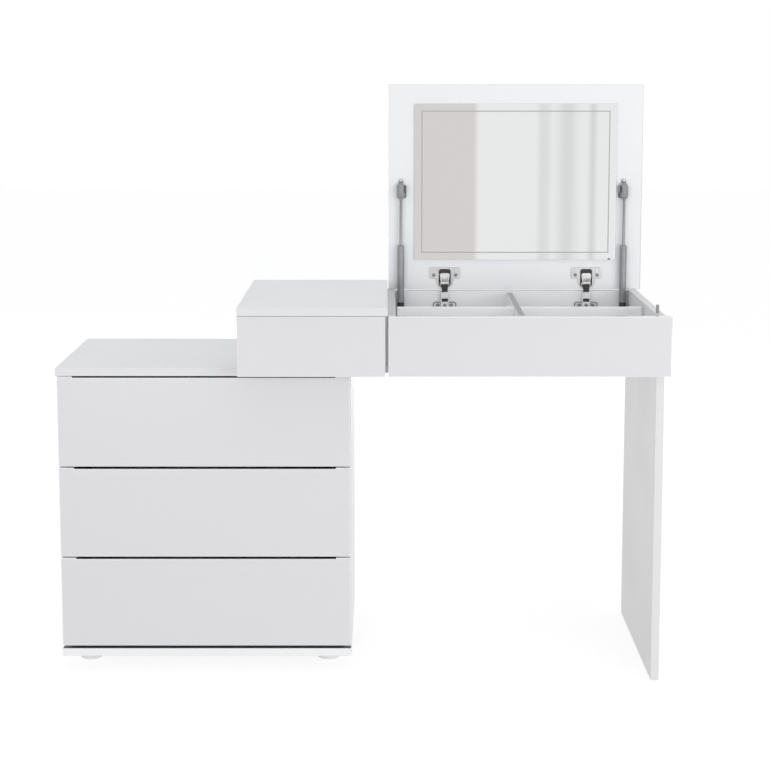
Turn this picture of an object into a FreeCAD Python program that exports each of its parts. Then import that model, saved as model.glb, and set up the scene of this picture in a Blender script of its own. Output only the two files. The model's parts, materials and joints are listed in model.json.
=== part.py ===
"""Dressing table: drawer chest, desk unit with a mirrored lid, gas struts and concealed hinges.

Millimetres, +Z up, front towards -Y, lid raised. Every size comes from the sheet "Sizes".
"""
import FreeCAD, Part
import os
import re

# Driving sizes
SIZES = {
    "board": 16,
    "overallDepth": 450,
    "tableHeight": 760,
    "deskWidth": 850,
    "deskLap": 223,
    "deskHeight": 131,
    "chestWidth": 593,
    "chestSetBack": 71,
    "leftSection": 295,
    "legOverhang": 11,
    "frontDrop": 5,
    "closeGap": 1,
    "faceGap": 5,
    "topGap": 0.5,
    "lidSideGap": 2,
    "backDip": 6,
    "chestInset": 2,
    "chestFrontInset": 3,
    "chestBackThick": 4,
    "baseTop": 49.4,
    "baseSet": 1,
    "footRadius": 22.5,
    "footInset": 43,
    "footRightInset": 50,
    "frontFootSet": 95,
    "rearFootSet": 65,
    "glideRadius": 7,
    "glideHeight": 3,
    "glideInset": 25,
    "chestFaceGap": 4,
    "drawerGap": 5.5,
    "baseFaceGap": 6,
    "gripEnd": 30,
    "gripRise": 3,
    "gripLip": 3,
    "gripDepth": 14,
    "boxBoard": 12,
    "boxRise": 18,
    "boxShort": 56.2,
    "boxBackGap": 29,
    "boxFloorRise": 8,
    "boxFloorThick": 4,
    "runnerGap": 13,
    "runnerBar": 6,
    "runnerEase": 0.5,
    "runnerHeight": 35,
    "sliderHeight": 25,
    "sliderRise": 42,
    "runnerSetBack": 4,
    "smallFrontGap": 0.8,
    "smallBoxRise": 9,
    "smallBoxShort": 20,
    "smallBackGap": 68,
    "smallRunnerEnd": 20,
    "smallSliderRise": 22,
    "trayBoard": 12,
    "trayDrop": 10.5,
    "dividerPlace": 262,
    "railSetBack": 201,
    "railGap": 3.5,
    "trayEase": 0.5,
    "lidFrontGap": 3,
    "hingeIn": 9.5,
    "mirrorSide": 56.5,
    "mirrorUnder": 66,
    "mirrorOver": 41,
    "mirrorThick": 4,
    "mirrorEdge": 3.8,
    "mirrorBevel": 15,
    "hingeInset": 123.5,
    "hingeRightInset": 119,
    "cupDrill": 21,
    "cupRadius": 17.5,
    "cupWall": 1.2,
    "cupDepth": 12.5,
    "cupEase": 0.1,
    "flange": 1.2,
    "flangeRim": 2,
    "wingHalf": 34,
    "wingRise": 3,
    "wingHeight": 25,
    "wingScrewX": 24,
    "wingScrewRise": 11,
    "pinRadius": 1.5,
    "pinHalf": 9,
    "pinEase": 0.05,
    "earInner": 6.8,
    "earHeight": 6,
    "knuckleRadius": 2.8,
    "armHalf": 6.5,
    "armThick": 3.5,
    "armStand": 5.5,
    "armHalfThick": 1.9,
    "armDrop": 28.5,
    "armBodyHalf": 8.5,
    "armBodyThick": 6,
    "armBodyRise": 15,
    "armBodyDrop": 15.5,
    "coverThick": 2.5,
    "coverDrop": 14.5,
    "linkHalf": 9,
    "linkRise": 15.5,
    "linkHeight": 12,
    "linkThick": 4.3,
    "plateHalf": 26,
    "plateThick": 4,
    "plateHeight": 49,
    "plateRise": 20,
    "plateScrewX": 14.5,
    "plateScrewDrop": 7,
    "screwHead": 4,
    "screwHeadThick": 2,
    "screwShank": 1.75,
    "screwBite": 11,
    "strutIn": 13,
    "strutFront": 12,
    "strutReach": 211.5,
    "strutRise": 27,
    "socketRadius": 8,
    "socketHalf": 6.5,
    "studRadius": 3,
    "studEase": 0.05,
    "studShort": 0.5,
    "cylinderRadius": 7.5,
    "neckHeight": 42,
    "cylinderLength": 126,
    "rodRadius": 3,
    "rodInside": 36,
    "sleeveRadius": 6,
    "sleeveDrop": 24,
    "headHalf": 6,
    "headTip": 14,
    "headTipRadius": 3.5,
    "lowPlateThick": 2,
    "lowPlateHalfY": 10,
    "lowPlateHalfZ": 15,
    "lowScrewZ": 11.5,
    "lidPlateSide": 9,
    "lidTabIn": 10,
    "lidTabThick": 2,
    "lidPlateThick": 2,
    "lidPlateUnder": 20,
    "lidPlateOver": 22,
    "lidTopHalf": 5,
    "lidTabHalf": 8,
    "lidStudRadius": 2.5,
    "lidStudGap": 0.3,
    "lidScrewLow": 14,
    "lidScrewHigh": 18,
    "latchIn": 6,
    "latchSetBack": 57,
    "latchRadius": 4,
    "latchLength": 43,
    "latchFloor": 2,
    "plungerRadius": 3.3,
    "plungerEase": 0.05,
    "plungerIn": 24,
    "plungerOut": 16,
    "fixHead": 5,
    "fixHeadThick": 3,
    "fixShank": 2.5,
    "fixBite": 11,
}

doc = FreeCAD.newDocument("DressingTable")
sheet = doc.addObject("Spreadsheet::Sheet", "Sizes")
for row, (alias, value) in enumerate(SIZES.items(), start=1):
    sheet.set(f"A{row}", alias)
    sheet.set(f"B{row}", str(value))
    sheet.setAlias(f"B{row}", alias)
doc.recompute()

nodes = []


def sized(text):
    """Writes a formula of size names as a formula of sheet cells."""
    return re.sub(r"[A-Za-z]+", lambda word: "Sizes." + word.group(0), str(text))


def add(kind, label):
    """Adds one document object with its own label."""
    item = doc.addObject(kind, re.sub(r"\W", "_", label))
    item.Label = label
    return item


def seat(item, x, y, z):
    """Binds an object's place to the sheet."""
    for axis, text in zip("xyz", (x, y, z)):
        item.setExpression(f"Placement.Base.{axis}", sized(text))


def block(label, x, y, z):
    """A box between pairs of planes."""
    item = add("Part::Box", label)
    for name, (low, high) in zip(("Length", "Width", "Height"), (x, y, z)):
        item.setExpression(name, sized(f"({high}) - ({low})"))
    seat(item, x[0], y[0], z[0])
    return item


TURNS = {
    "x": FreeCAD.Rotation(FreeCAD.Vector(0, 1, 0), 90),
    "y": FreeCAD.Rotation(FreeCAD.Vector(1, 0, 0), -90),
    "z": FreeCAD.Rotation(),
}


def bar(label, axis, radius, low, high, first, second):
    """A round bar along one axis; first and second place it on the other two axes in x, y, z order."""
    item = add("Part::Cylinder", label)
    item.Placement = FreeCAD.Placement(FreeCAD.Vector(), TURNS[axis])
    item.setExpression("Radius", sized(radius))
    item.setExpression("Height", sized(f"({high}) - ({low})"))
    place = {"x": (low, first, second), "y": (first, low, second), "z": (first, second, low)}[axis]
    seat(item, *place)
    return item


def taper(label, low_radius, high_radius, low, high, x, y):
    """An upright cone between two heights."""
    item = add("Part::Cone", label)
    item.setExpression("Radius1", sized(low_radius))
    item.setExpression("Radius2", sized(high_radius))
    item.setExpression("Height", sized(f"({high}) - ({low})"))
    seat(item, x, y, low)
    return item


def wedge(label, x, y, z, far_x, far_z):
    """A tapered block: x and z at its first y plane, far_x and far_z at its second."""
    item = add("Part::Wedge", label)
    pairs = {
        "Xmin": x[0], "Xmax": x[1], "Ymin": y[0], "Ymax": y[1], "Zmin": z[0], "Zmax": z[1],
        "X2min": far_x[0], "X2max": far_x[1], "Z2min": far_z[0], "Z2max": far_z[1],
    }
    for name, text in pairs.items():
        item.setExpression(name, sized(text))
    return item


def fuse(label, *parts):
    """One solid from several."""
    item = add("Part::MultiFuse", label)
    item.Shapes = list(parts)
    item.Refine = True
    return item


def common(label, *parts):
    """What several solids share."""
    item = add("Part::MultiCommon", label)
    item.Shapes = list(parts)
    return item


def cut(label, base, *tools):
    """A solid with one or more others taken out of it."""
    item = add("Part::Cut", label)
    item.Base = base
    item.Tool = tools[0] if len(tools) == 1 else fuse(label + " cutters", *tools)
    return item


def group(label, *parts):
    """Separate solids that share one name."""
    item = add("Part::Compound", label)
    item.Links = list(parts)
    return item


def node(item):
    """Marks an object as a sub-part to write out."""
    nodes.append(item)
    return item


# Shared planes
FRONT = "(0 - overallDepth / 2)"
BACK = "(overallDepth / 2)"
DESK_RIGHT = "((deskWidth + chestWidth - deskLap) / 2)"
CHEST_LEFT = f"(0 - {DESK_RIGHT})"
CHEST_RIGHT = f"({CHEST_LEFT} + chestWidth)"
CHEST_FRONT = f"({FRONT} + chestSetBack)"
CHEST_TOP = "(tableHeight - deskHeight)"
CHEST_LEFT_OUT = f"({CHEST_LEFT} + chestInset)"
CHEST_RIGHT_OUT = f"({CHEST_RIGHT} - chestInset)"
CHEST_LEFT_IN = f"({CHEST_LEFT_OUT} + board)"
CHEST_RIGHT_IN = f"({CHEST_RIGHT_OUT} - board)"
CHEST_EDGE = f"({CHEST_FRONT} + board + closeGap)"
FACE_TOP = f"({CHEST_TOP} - board - chestFaceGap)"
FACE_PITCH = f"(({FACE_TOP} - baseTop - baseFaceGap + drawerGap) / 3)"
FACE_HEIGHT = f"({FACE_PITCH} - drawerGap)"
DESK_LEFT = f"({DESK_RIGHT} - deskWidth)"
DESK_LEFT_IN = f"({DESK_LEFT} + board)"
DESK_FLOOR = f"({CHEST_TOP} + board)"
FACE_FOOT = f"({CHEST_TOP} - frontDrop)"
LID_UNDER = "(tableHeight - board)"
PANEL_TOP = f"({LID_UNDER} - closeGap)"
BACK_TOP = f"({LID_UNDER} - backDip)"
INNER_BACK = f"({BACK} - board)"
INNER_FRONT = f"({FRONT} + board)"
CARCASS_FRONT = f"({FRONT} + board + closeGap)"
PARTITION_LEFT = f"({DESK_LEFT} + leftSection)"
PARTITION_RIGHT = f"({PARTITION_LEFT} + board)"
LEG_LEFT = f"({DESK_RIGHT} - legOverhang - board)"
LEG_RIGHT = f"({DESK_RIGHT} - legOverhang)"
LID_LEFT = f"({PARTITION_LEFT} + lidSideGap)"
HINGE_Y = f"({BACK} - hingeIn)"
HINGE_Z = "(tableHeight - hingeIn)"
LID_FOOT = f"({HINGE_Z} - hingeIn)"
LID_HEAD = f"({LID_FOOT} + overallDepth - lidFrontGap)"
CUP_Z = f"({LID_FOOT} + cupDrill)"
PLATE_FOOT = f"({DESK_FLOOR} + plateRise)"
PLATE_TOP = f"({PLATE_FOOT} + plateHeight)"
PLATE_SCREW_Z = f"({PLATE_TOP} - plateScrewDrop)"
ARM_FOOT = f"({PLATE_FOOT} + armBodyRise)"
ARM_TOP = f"({HINGE_Z} - armBodyDrop)"
ARM_FRONT = f"({INNER_BACK} - armStand)"
STRAP_FOOT = f"({HINGE_Z} - armDrop)"
STRUT_Y = f"({INNER_BACK} - strutFront)"
STRUT_FOOT = f"({DESK_FLOOR} + strutRise)"
STRUT_HEAD = f"({HINGE_Z} + strutReach)"
TUBE_FOOT = f"({STRUT_FOOT} + neckHeight)"
TUBE_TOP = f"({TUBE_FOOT} + cylinderLength)"
SLEEVE_FOOT = f"({STRUT_HEAD} - sleeveDrop)"
TRAY_TOP = f"({LID_UNDER} - trayDrop)"
DIVIDER_LEFT = f"({PARTITION_LEFT} + dividerPlace)"
RAIL_FRONT = f"({FRONT} + railSetBack)"
LATCH_X = f"({LEG_LEFT} + latchIn)"
LATCH_Y = f"({FRONT} + latchSetBack)"
SMALL_FOOT = f"({DESK_FLOOR} + smallBoxRise)"
SMALL_TOP = f"({LID_UNDER} - smallBoxShort)"
SLIDER = "(runnerGap - runnerBar - runnerEase)"
HINGES = {"left": f"({LID_LEFT} + hingeInset)", "right": f"({DESK_RIGHT} - hingeRightInset)"}


def screw(label, axis_y, x, z, bite):
    """A pan-head screw into a board from the front: head, then shank."""
    head = bar(label + " head", "y", "screwHead", f"{axis_y} - screwHeadThick", axis_y, x, z)
    shank = bar(label + " shank", "y", "screwShank", f"{axis_y} - screwHeadThick / 2", f"{axis_y} + {bite}", x, z)
    return fuse(label, head, shank)


# Chest carcass
chest_top = block("chest top board", (CHEST_LEFT, CHEST_RIGHT), (CHEST_FRONT, BACK),
                  (f"{CHEST_TOP} - board", CHEST_TOP))
fix_places = [(f"{DESK_LEFT} + 40", f"{CHEST_FRONT} + 60"), (f"{DESK_LEFT} + 40", f"{BACK} - 70"),
              (f"{CHEST_RIGHT} - 60", f"{CHEST_FRONT} + 60"), (f"{CHEST_RIGHT} - 60", f"{BACK} - 70")]
fix_screws = []
fix_holes_top = []
fix_holes_floor = []
for index, (px, py) in enumerate(fix_places, start=1):
    head = bar(f"fixing head {index}", "z", "fixHead", DESK_FLOOR, f"{DESK_FLOOR} + fixHeadThick", px, py)
    shank = bar(f"fixing shank {index}", "z", "fixShank", f"{CHEST_TOP} - fixBite", f"{DESK_FLOOR} + 1", px, py)
    fix_screws.append(fuse(f"fixing screw {index}", head, shank))
    fix_holes_top.append(bar(f"chest fixing hole {index}", "z", "fixShank + studEase",
                             f"{CHEST_TOP} - fixBite", f"{CHEST_TOP} + 2", px, py))
    fix_holes_floor.append(bar(f"desk fixing hole {index}", "z", "fixShank + studEase",
                               f"{CHEST_TOP} - 2", f"{DESK_FLOOR} + 2", px, py))
node(cut("chest_top", chest_top, *fix_holes_top))
node(block("chest_base", (CHEST_LEFT_OUT, CHEST_RIGHT_OUT),
           (f"{CHEST_FRONT} + baseSet", BACK), ("baseTop - board", "baseTop")))
side_y = (CHEST_EDGE, f"{BACK} - chestBackThick")
side_z = ("baseTop", f"{CHEST_TOP} - board")
node(block("chest_left_side", (CHEST_LEFT_OUT, CHEST_LEFT_IN), side_y, side_z))
node(block("chest_right_side", (CHEST_RIGHT_IN, CHEST_RIGHT_OUT), side_y, side_z))
node(block("chest_back", (CHEST_LEFT_OUT, CHEST_RIGHT_OUT),
           (f"{BACK} - chestBackThick", BACK), side_z))
feet = []
for px in (f"{CHEST_LEFT_OUT} + footInset", f"{CHEST_RIGHT_OUT} - footRightInset"):
    for py in (f"{CHEST_FRONT} + frontFootSet", f"{BACK} - rearFootSet"):
        feet.append(bar(f"foot {len(feet) + 1}", "z", "footRadius", "0", "baseTop - board", px, py))
node(group("chest_feet", *feet))

# Chest drawers, upper to lower
rails = []
for step, name in enumerate(("upper", "middle", "lower")):
    top = f"{FACE_TOP} - {step} * {FACE_PITCH}"
    foot = f"{top} - {FACE_HEIGHT}"
    face_x = (f"{CHEST_LEFT} + chestFrontInset", f"{CHEST_RIGHT} - chestFrontInset")
    face = block(f"drawer {name} face", face_x, (CHEST_FRONT, f"{CHEST_FRONT} + board"),
                 (foot, f"{top} + gripRise"))
    grip_x = (f"{face_x[0]} + gripEnd", f"{face_x[1]} - gripEnd")
    grip = wedge(f"drawer {name} grip cut", grip_x, (f"{CHEST_FRONT} + gripLip", f"{CHEST_FRONT} + board + 1"),
                 (f"{top} - 1", f"{top} + 2"), grip_x, (f"{top} - gripDepth", f"{top} + 2"))
    gap = block(f"drawer {name} grip gap", grip_x, (f"{CHEST_FRONT} - 1", f"{CHEST_FRONT} + board + 1"),
                (top, f"{top} + gripRise + 1"))
    node(cut(f"drawer_{name}_front", face, grip, gap))
    box_left = f"{CHEST_LEFT_IN} + runnerGap"
    box_right = f"{CHEST_RIGHT_IN} - runnerGap"
    box_y = (f"{CHEST_FRONT} + board", f"{BACK} - chestBackThick - boxBackGap")
    box_z = (f"{foot} + boxRise", f"{foot} + boxRise + {FACE_HEIGHT} - boxShort")
    node(group(f"drawer_{name}_sides",
               block(f"drawer {name} left side", (box_left, f"{box_left} + boxBoard"), box_y, box_z),
               block(f"drawer {name} right side", (f"{box_right} - boxBoard", box_right), box_y, box_z)))
    inner_x = (f"{box_left} + boxBoard", f"{box_right} - boxBoard")
    node(block(f"drawer_{name}_back", inner_x, (f"{box_y[1]} - boxBoard", box_y[1]), box_z))
    node(block(f"drawer_{name}_bottom", inner_x, (box_y[0], f"{box_y[1]} - boxBoard"),
               (f"{box_z[0]} + boxFloorRise", f"{box_z[0]} + boxFloorRise + boxFloorThick")))
    run_y = (f"{box_y[0]} + runnerSetBack", box_y[1])
    slide_z = (f"{box_z[0]} + sliderRise", f"{box_z[0]} + sliderRise + sliderHeight")
    rail_z = (f"{slide_z[0]} - (runnerHeight - sliderHeight) / 2",
              f"{slide_z[1]} + (runnerHeight - sliderHeight) / 2")
    node(group(f"drawer_{name}_runners",
               block(f"drawer {name} left slider", (f"{box_left} - {SLIDER}", box_left), run_y, slide_z),
               block(f"drawer {name} right slider", (box_right, f"{box_right} + {SLIDER}"), run_y, slide_z)))
    rails.append(block(f"rail {name} left", (CHEST_LEFT_IN, f"{CHEST_LEFT_IN} + runnerBar"), run_y, rail_z))
    rails.append(block(f"rail {name} right", (f"{CHEST_RIGHT_IN} - runnerBar", CHEST_RIGHT_IN), run_y, rail_z))

# Desk unit boards
node(block("desk_left_top", (DESK_LEFT, f"{PARTITION_LEFT} - topGap"), (FRONT, BACK),
           (LID_UNDER, "tableHeight")))
node(block("desk_left_side", (DESK_LEFT, DESK_LEFT_IN), (CARCASS_FRONT, BACK),
           (CHEST_TOP, LID_UNDER)))
node(block("desk_inner_side", (f"{PARTITION_LEFT} - board", PARTITION_LEFT), (CARCASS_FRONT, INNER_BACK),
           (DESK_FLOOR, LID_UNDER)))
node(block("desk_front_panel", (f"{PARTITION_LEFT} + closeGap", DESK_RIGHT), (FRONT, INNER_FRONT),
           (FACE_FOOT, PANEL_TOP)))
desk_floor = block("desk floor board", (DESK_LEFT_IN, LEG_LEFT), (CARCASS_FRONT, BACK),
                   (CHEST_TOP, DESK_FLOOR))
node(cut("desk_bottom", desk_floor, *fix_holes_floor))

# Strut pivots, brackets and their screws
struts = {
    "left": {"x": f"({PARTITION_RIGHT} + strutIn)", "wall": PARTITION_RIGHT, "out": -1},
    "right": {"x": f"({LEG_LEFT} - strutIn)", "wall": LEG_LEFT, "out": 1},
}
low_brackets = []
low_screws = []
low_holes = {}
lid_brackets = []
lid_screws = []
lid_holes = []
for side, data in struts.items():
    sx = data["x"]
    wall = data["wall"]
    out = data["out"]
    plate_x = (f"{wall} - lowPlateThick", wall) if out > 0 else (wall, f"{wall} + lowPlateThick")
    plate = block(f"{side} low plate", plate_x, (f"{STRUT_Y} - lowPlateHalfY", f"{STRUT_Y} + lowPlateHalfY"),
                  (f"{STRUT_FOOT} - lowPlateHalfZ", f"{STRUT_FOOT} + lowPlateHalfZ"))
    if out > 0:
        stud_x = (f"{sx} - socketHalf + studShort", f"{wall} - 1")
    else:
        stud_x = (f"{wall} + 1", f"{sx} + socketHalf - studShort")
    stud = bar(f"{side} low stud", "x", "studRadius", stud_x[0], stud_x[1], STRUT_Y, STRUT_FOOT)
    holes = []
    for sign, tag in (("-", "under"), ("+", "over")):
        sz = f"{STRUT_FOOT} {sign} lowScrewZ"
        if out > 0:
            head_x = (f"{wall} - lowPlateThick - 1.5", f"{wall} - lowPlateThick")
            shank_x = (f"{wall} - lowPlateThick - 1", f"{wall} + screwBite")
        else:
            head_x = (f"{wall} + lowPlateThick", f"{wall} + lowPlateThick + 1.5")
            shank_x = (f"{wall} - screwBite", f"{wall} + lowPlateThick + 1")
        head = bar(f"{side} low screw head {tag}", "x", "screwHead - 1", head_x[0], head_x[1], STRUT_Y, sz)
        shank = bar(f"{side} low screw shank {tag}", "x", "screwShank", shank_x[0], shank_x[1], STRUT_Y, sz)
        low_screws.append(fuse(f"{side} low screw {tag}", head, shank))
        hole_x = (f"{shank_x[0]} - 1", shank_x[1]) if out > 0 else (shank_x[0], f"{shank_x[1]} + 1")
        holes.append(bar(f"{side} low hole {tag}", "x", "screwShank", hole_x[0], hole_x[1], STRUT_Y, sz))
    low_holes[side] = holes
    low_brackets.append(cut(f"{side} low bracket", fuse(f"{side} low bracket blank", plate, stud), *holes))

    face = INNER_BACK
    if out > 0:
        lid_plate_x = (f"{sx} - lidTabIn - lidTabThick", f"{sx} + lidPlateSide")
        tab_x = (f"{sx} - lidTabIn - lidTabThick", f"{sx} - lidTabIn")
        tip_x = (f"{sx} - lidTabIn - 1", f"{sx} - headHalf - lidStudGap")
    else:
        lid_plate_x = (f"{sx} - lidPlateSide", f"{sx} + lidTabIn + lidTabThick")
        tab_x = (f"{sx} + lidTabIn", f"{sx} + lidTabIn + lidTabThick")
        tip_x = (f"{sx} + headHalf + lidStudGap", f"{sx} + lidTabIn + 1")
    lid_plate = block(f"{side} lid plate", lid_plate_x, (f"{face} - lidPlateThick", face),
                      (f"{STRUT_HEAD} - lidPlateUnder", f"{STRUT_HEAD} + lidTabHalf"))
    lid_top = block(f"{side} lid plate top", (f"{sx} - lidTopHalf", f"{sx} + lidTopHalf"),
                    (f"{face} - lidPlateThick", face),
                    (f"{STRUT_HEAD} + lidTabHalf - 1", f"{STRUT_HEAD} + lidPlateOver"))
    tab = block(f"{side} lid tab", tab_x, (f"{STRUT_Y} - lidTabHalf", f"{face} - lidPlateThick / 2"),
                (f"{STRUT_HEAD} - lidTabHalf", f"{STRUT_HEAD} + lidTabHalf"))
    tip = bar(f"{side} lid stud", "x", "lidStudRadius", tip_x[0], tip_x[1], STRUT_Y, STRUT_HEAD)
    plate_holes = []
    for tag, sz in (("low", f"{STRUT_HEAD} - lidScrewLow"), ("high", f"{STRUT_HEAD} + lidScrewHigh")):
        lid_screws.append(screw(f"{side} lid bracket screw {tag}", f"{face} - lidPlateThick", sx, sz,
                                "screwBite"))
        plate_holes.append(bar(f"{side} lid plate hole {tag}", "y", "screwShank", f"{face} - lidPlateThick - 2",
                               f"{face} - lidPlateThick + screwBite", sx, sz))
    lid_holes += plate_holes
    lid_blank = fuse(f"{side} lid bracket blank", lid_plate, lid_top, tab, tip)
    lid_brackets.append(cut(f"{side} lid bracket", lid_blank, *plate_holes))

partition = block("partition board", (PARTITION_LEFT, PARTITION_RIGHT), (INNER_FRONT, INNER_BACK),
                  (DESK_FLOOR, PANEL_TOP))
node(cut("desk_partition", partition, *low_holes["left"]))
leg_board = block("leg board", (LEG_LEFT, LEG_RIGHT), (INNER_FRONT, BACK), ("glideHeight", PANEL_TOP))
leg_notch = block("leg lid notch", (f"{LEG_LEFT} - 1", f"{LEG_RIGHT} + 1"), (INNER_BACK, f"{BACK} + 1"),
                  (BACK_TOP, f"{PANEL_TOP} + 1"))
latch_bore = bar("latch bore", "z", "latchRadius", f"{PANEL_TOP} - latchLength", f"{PANEL_TOP} + 1",
                 LATCH_X, LATCH_Y)
node(cut("desk_leg_panel", leg_board, leg_notch, latch_bore, *low_holes["right"]))
glide_x = f"{LEG_LEFT} + board / 2"
node(group("leg_glides",
           bar("front glide", "z", "glideRadius", "0", "glideHeight", glide_x, f"{INNER_FRONT} + glideInset"),
           bar("rear glide", "z", "glideRadius", "0", "glideHeight", glide_x, f"{BACK} - glideInset")))

# Concealed hinges
arms = []
covers = []
plates = []
plate_screws = []
back_holes = []
cups = []
pins = []
cup_bores = []
for side, hx in HINGES.items():
    face = INNER_BACK
    rim_y = (f"{face} - flange", face)
    shell = bar(f"{side} cup shell", "y", "cupRadius - cupEase", f"{face} - flange",
                f"{face} + cupDepth - cupEase", hx, CUP_Z)
    rim = bar(f"{side} cup rim", "y", "cupRadius + flangeRim", rim_y[0], rim_y[1], hx, CUP_Z)
    wing = block(f"{side} cup wing", (f"{hx} - wingHalf", f"{hx} + wingHalf"), rim_y,
                 (f"{CUP_Z} + wingRise", f"{CUP_Z} + wingRise + wingHeight"))
    hollow = bar(f"{side} cup hollow", "y", "cupRadius - cupWall", f"{face} - flange - 1",
                 f"{face} + cupDepth - cupWall", hx, CUP_Z)
    bowl = cut(f"{side} cup bowl", fuse(f"{side} cup blank", shell, rim, wing), hollow)
    ear_y = (f"{face} + 1", f"{face} + cupDepth - cupEase")
    ear_z = (f"{HINGE_Z} - earHeight", f"{HINGE_Z} + earHeight")
    ear_low = block(f"{side} ear one", (f"{hx} - pinHalf - 0.5", f"{hx} - earInner"), ear_y, ear_z)
    ear_high = block(f"{side} ear two", (f"{hx} + earInner", f"{hx} + pinHalf + 0.5"), ear_y, ear_z)
    ear_form = bar(f"{side} ear form", "y", "cupRadius - cupEase", face, f"{face} + cupDepth - cupEase",
                   hx, CUP_Z)
    ears = common(f"{side} ears", fuse(f"{side} ear blocks", ear_low, ear_high), ear_form)
    link = block(f"{side} link cap", (f"{hx} - linkHalf", f"{hx} + linkHalf"),
                 (f"{face} - flange - linkThick", f"{face} - flange"),
                 (f"{HINGE_Z} + linkRise", f"{HINGE_Z} + linkRise + linkHeight"))
    pin_x = (f"{hx} - pinHalf", f"{hx} + pinHalf")
    pin_hole = bar(f"{side} pin hole", "x", "pinRadius", pin_x[0], pin_x[1], HINGE_Y, HINGE_Z)
    wing_holes = []
    for sign, tag in (("-", "one"), ("+", "two")):
        wx = f"{hx} {sign} wingScrewX"
        wz = f"{CUP_Z} + wingScrewRise"
        lid_screws.append(screw(f"{side} wing screw {tag}", f"{face} - flange", wx, wz, "screwBite"))
        wing_holes.append(bar(f"{side} wing hole {tag}", "y", "screwShank", f"{face} - flange - 2",
                              f"{face} - flange + screwBite", wx, wz))
    lid_holes += wing_holes
    cups.append(cut(f"{side} hinge cup", fuse(f"{side} cup body", bowl, ears, link), pin_hole, *wing_holes))
    pins.append(bar(f"{side} hinge pin", "x", "pinRadius", pin_x[0], pin_x[1], HINGE_Y, HINGE_Z))
    cup_bores.append(bar(f"{side} cup bore", "y", "cupRadius", f"{face} - 1", f"{face} + cupDepth", hx, CUP_Z))

    arm_x = (f"{hx} - armHalf", f"{hx} + armHalf")
    knuckle = bar(f"{side} knuckle", "x", "knuckleRadius", arm_x[0], arm_x[1], HINGE_Y, HINGE_Z)
    neck_z = (f"{HINGE_Z} - armHalfThick", f"{HINGE_Z} + armHalfThick")
    neck = block(f"{side} arm neck", arm_x, (ARM_FRONT, HINGE_Y), neck_z)
    strap = block(f"{side} arm strap", arm_x, (ARM_FRONT, f"{ARM_FRONT} + armThick"),
                  (STRAP_FOOT, f"{HINGE_Z} + armHalfThick"))
    body_x = (f"{hx} - armBodyHalf", f"{hx} + armBodyHalf")
    plate_front = f"{face} - plateThick"
    body = block(f"{side} arm body", body_x, (f"{plate_front} - armBodyThick", plate_front),
                 (ARM_FOOT, ARM_TOP))
    arm_hole = bar(f"{side} arm hole", "x", "pinRadius + pinEase", f"{hx} - armHalf - 1", f"{hx} + armHalf + 1",
                   HINGE_Y, HINGE_Z)
    arms.append(cut(f"{side} hinge arm", fuse(f"{side} arm blank", knuckle, neck, strap, body), arm_hole))
    covers.append(block(f"{side} arm cover", (f"{hx} - armHalf - 0.5", f"{hx} + armHalf + 0.5"),
                        (f"{ARM_FRONT} - coverThick", ARM_FRONT),
                        (f"{HINGE_Z} - coverDrop", f"{HINGE_Z} + armHalfThick")))
    plate_holes = []
    for sign, tag in (("-", "one"), ("+", "two")):
        mx = f"{hx} {sign} plateScrewX"
        plate_screws.append(screw(f"{side} plate screw {tag}", plate_front, mx, PLATE_SCREW_Z,
                                  "plateThick + screwBite"))
        plate_holes.append(bar(f"{side} plate hole {tag}", "y", "screwShank", f"{plate_front} - 1",
                               f"{plate_front} + plateThick + screwBite", mx, PLATE_SCREW_Z))
    back_holes += plate_holes
    plate = block(f"{side} plate blank", (f"{hx} - plateHalf", f"{hx} + plateHalf"), (plate_front, face),
                  (PLATE_FOOT, PLATE_TOP))
    plates.append(cut(f"{side} hinge plate", plate, *plate_holes))
    plate_screws.append(bar(f"{side} arm screw", "y", "screwHead", f"{plate_front} - armBodyThick - 1.5",
                            f"{plate_front} - armBodyThick", hx, PLATE_SCREW_Z))

back_board = block("back board", (DESK_LEFT_IN, LEG_LEFT), (INNER_BACK, BACK), (DESK_FLOOR, LID_UNDER))
back_notch = block("back lid notch", (PARTITION_LEFT, f"{LEG_LEFT} + 1"), (f"{INNER_BACK} - 1", f"{BACK} + 1"),
                   (BACK_TOP, f"{LID_UNDER} + 1"))
node(cut("desk_back", back_board, back_notch, *back_holes))
node(group("hinge_arms", *arms))
node(group("hinge_covers", *covers))
node(group("hinge_plates", *plates))
node(group("strut_low_brackets", *low_brackets))
node(group("carcass_screws", *fix_screws, *low_screws, *plate_screws))

# Tray
tray_z = (DESK_FLOOR, TRAY_TOP)
node(block("tray_divider", (DIVIDER_LEFT, f"{DIVIDER_LEFT} + trayBoard"),
           (f"{INNER_FRONT} + trayEase", f"{INNER_BACK} - trayEase"), tray_z))
rail_y = (RAIL_FRONT, f"{RAIL_FRONT} + trayBoard")
node(group("tray_rails",
           block("tray rail left", (f"{PARTITION_RIGHT} + railGap", DIVIDER_LEFT), rail_y, tray_z),
           block("tray rail right", (f"{DIVIDER_LEFT} + trayBoard", f"{LEG_LEFT} - railGap"), rail_y, tray_z)))

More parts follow.
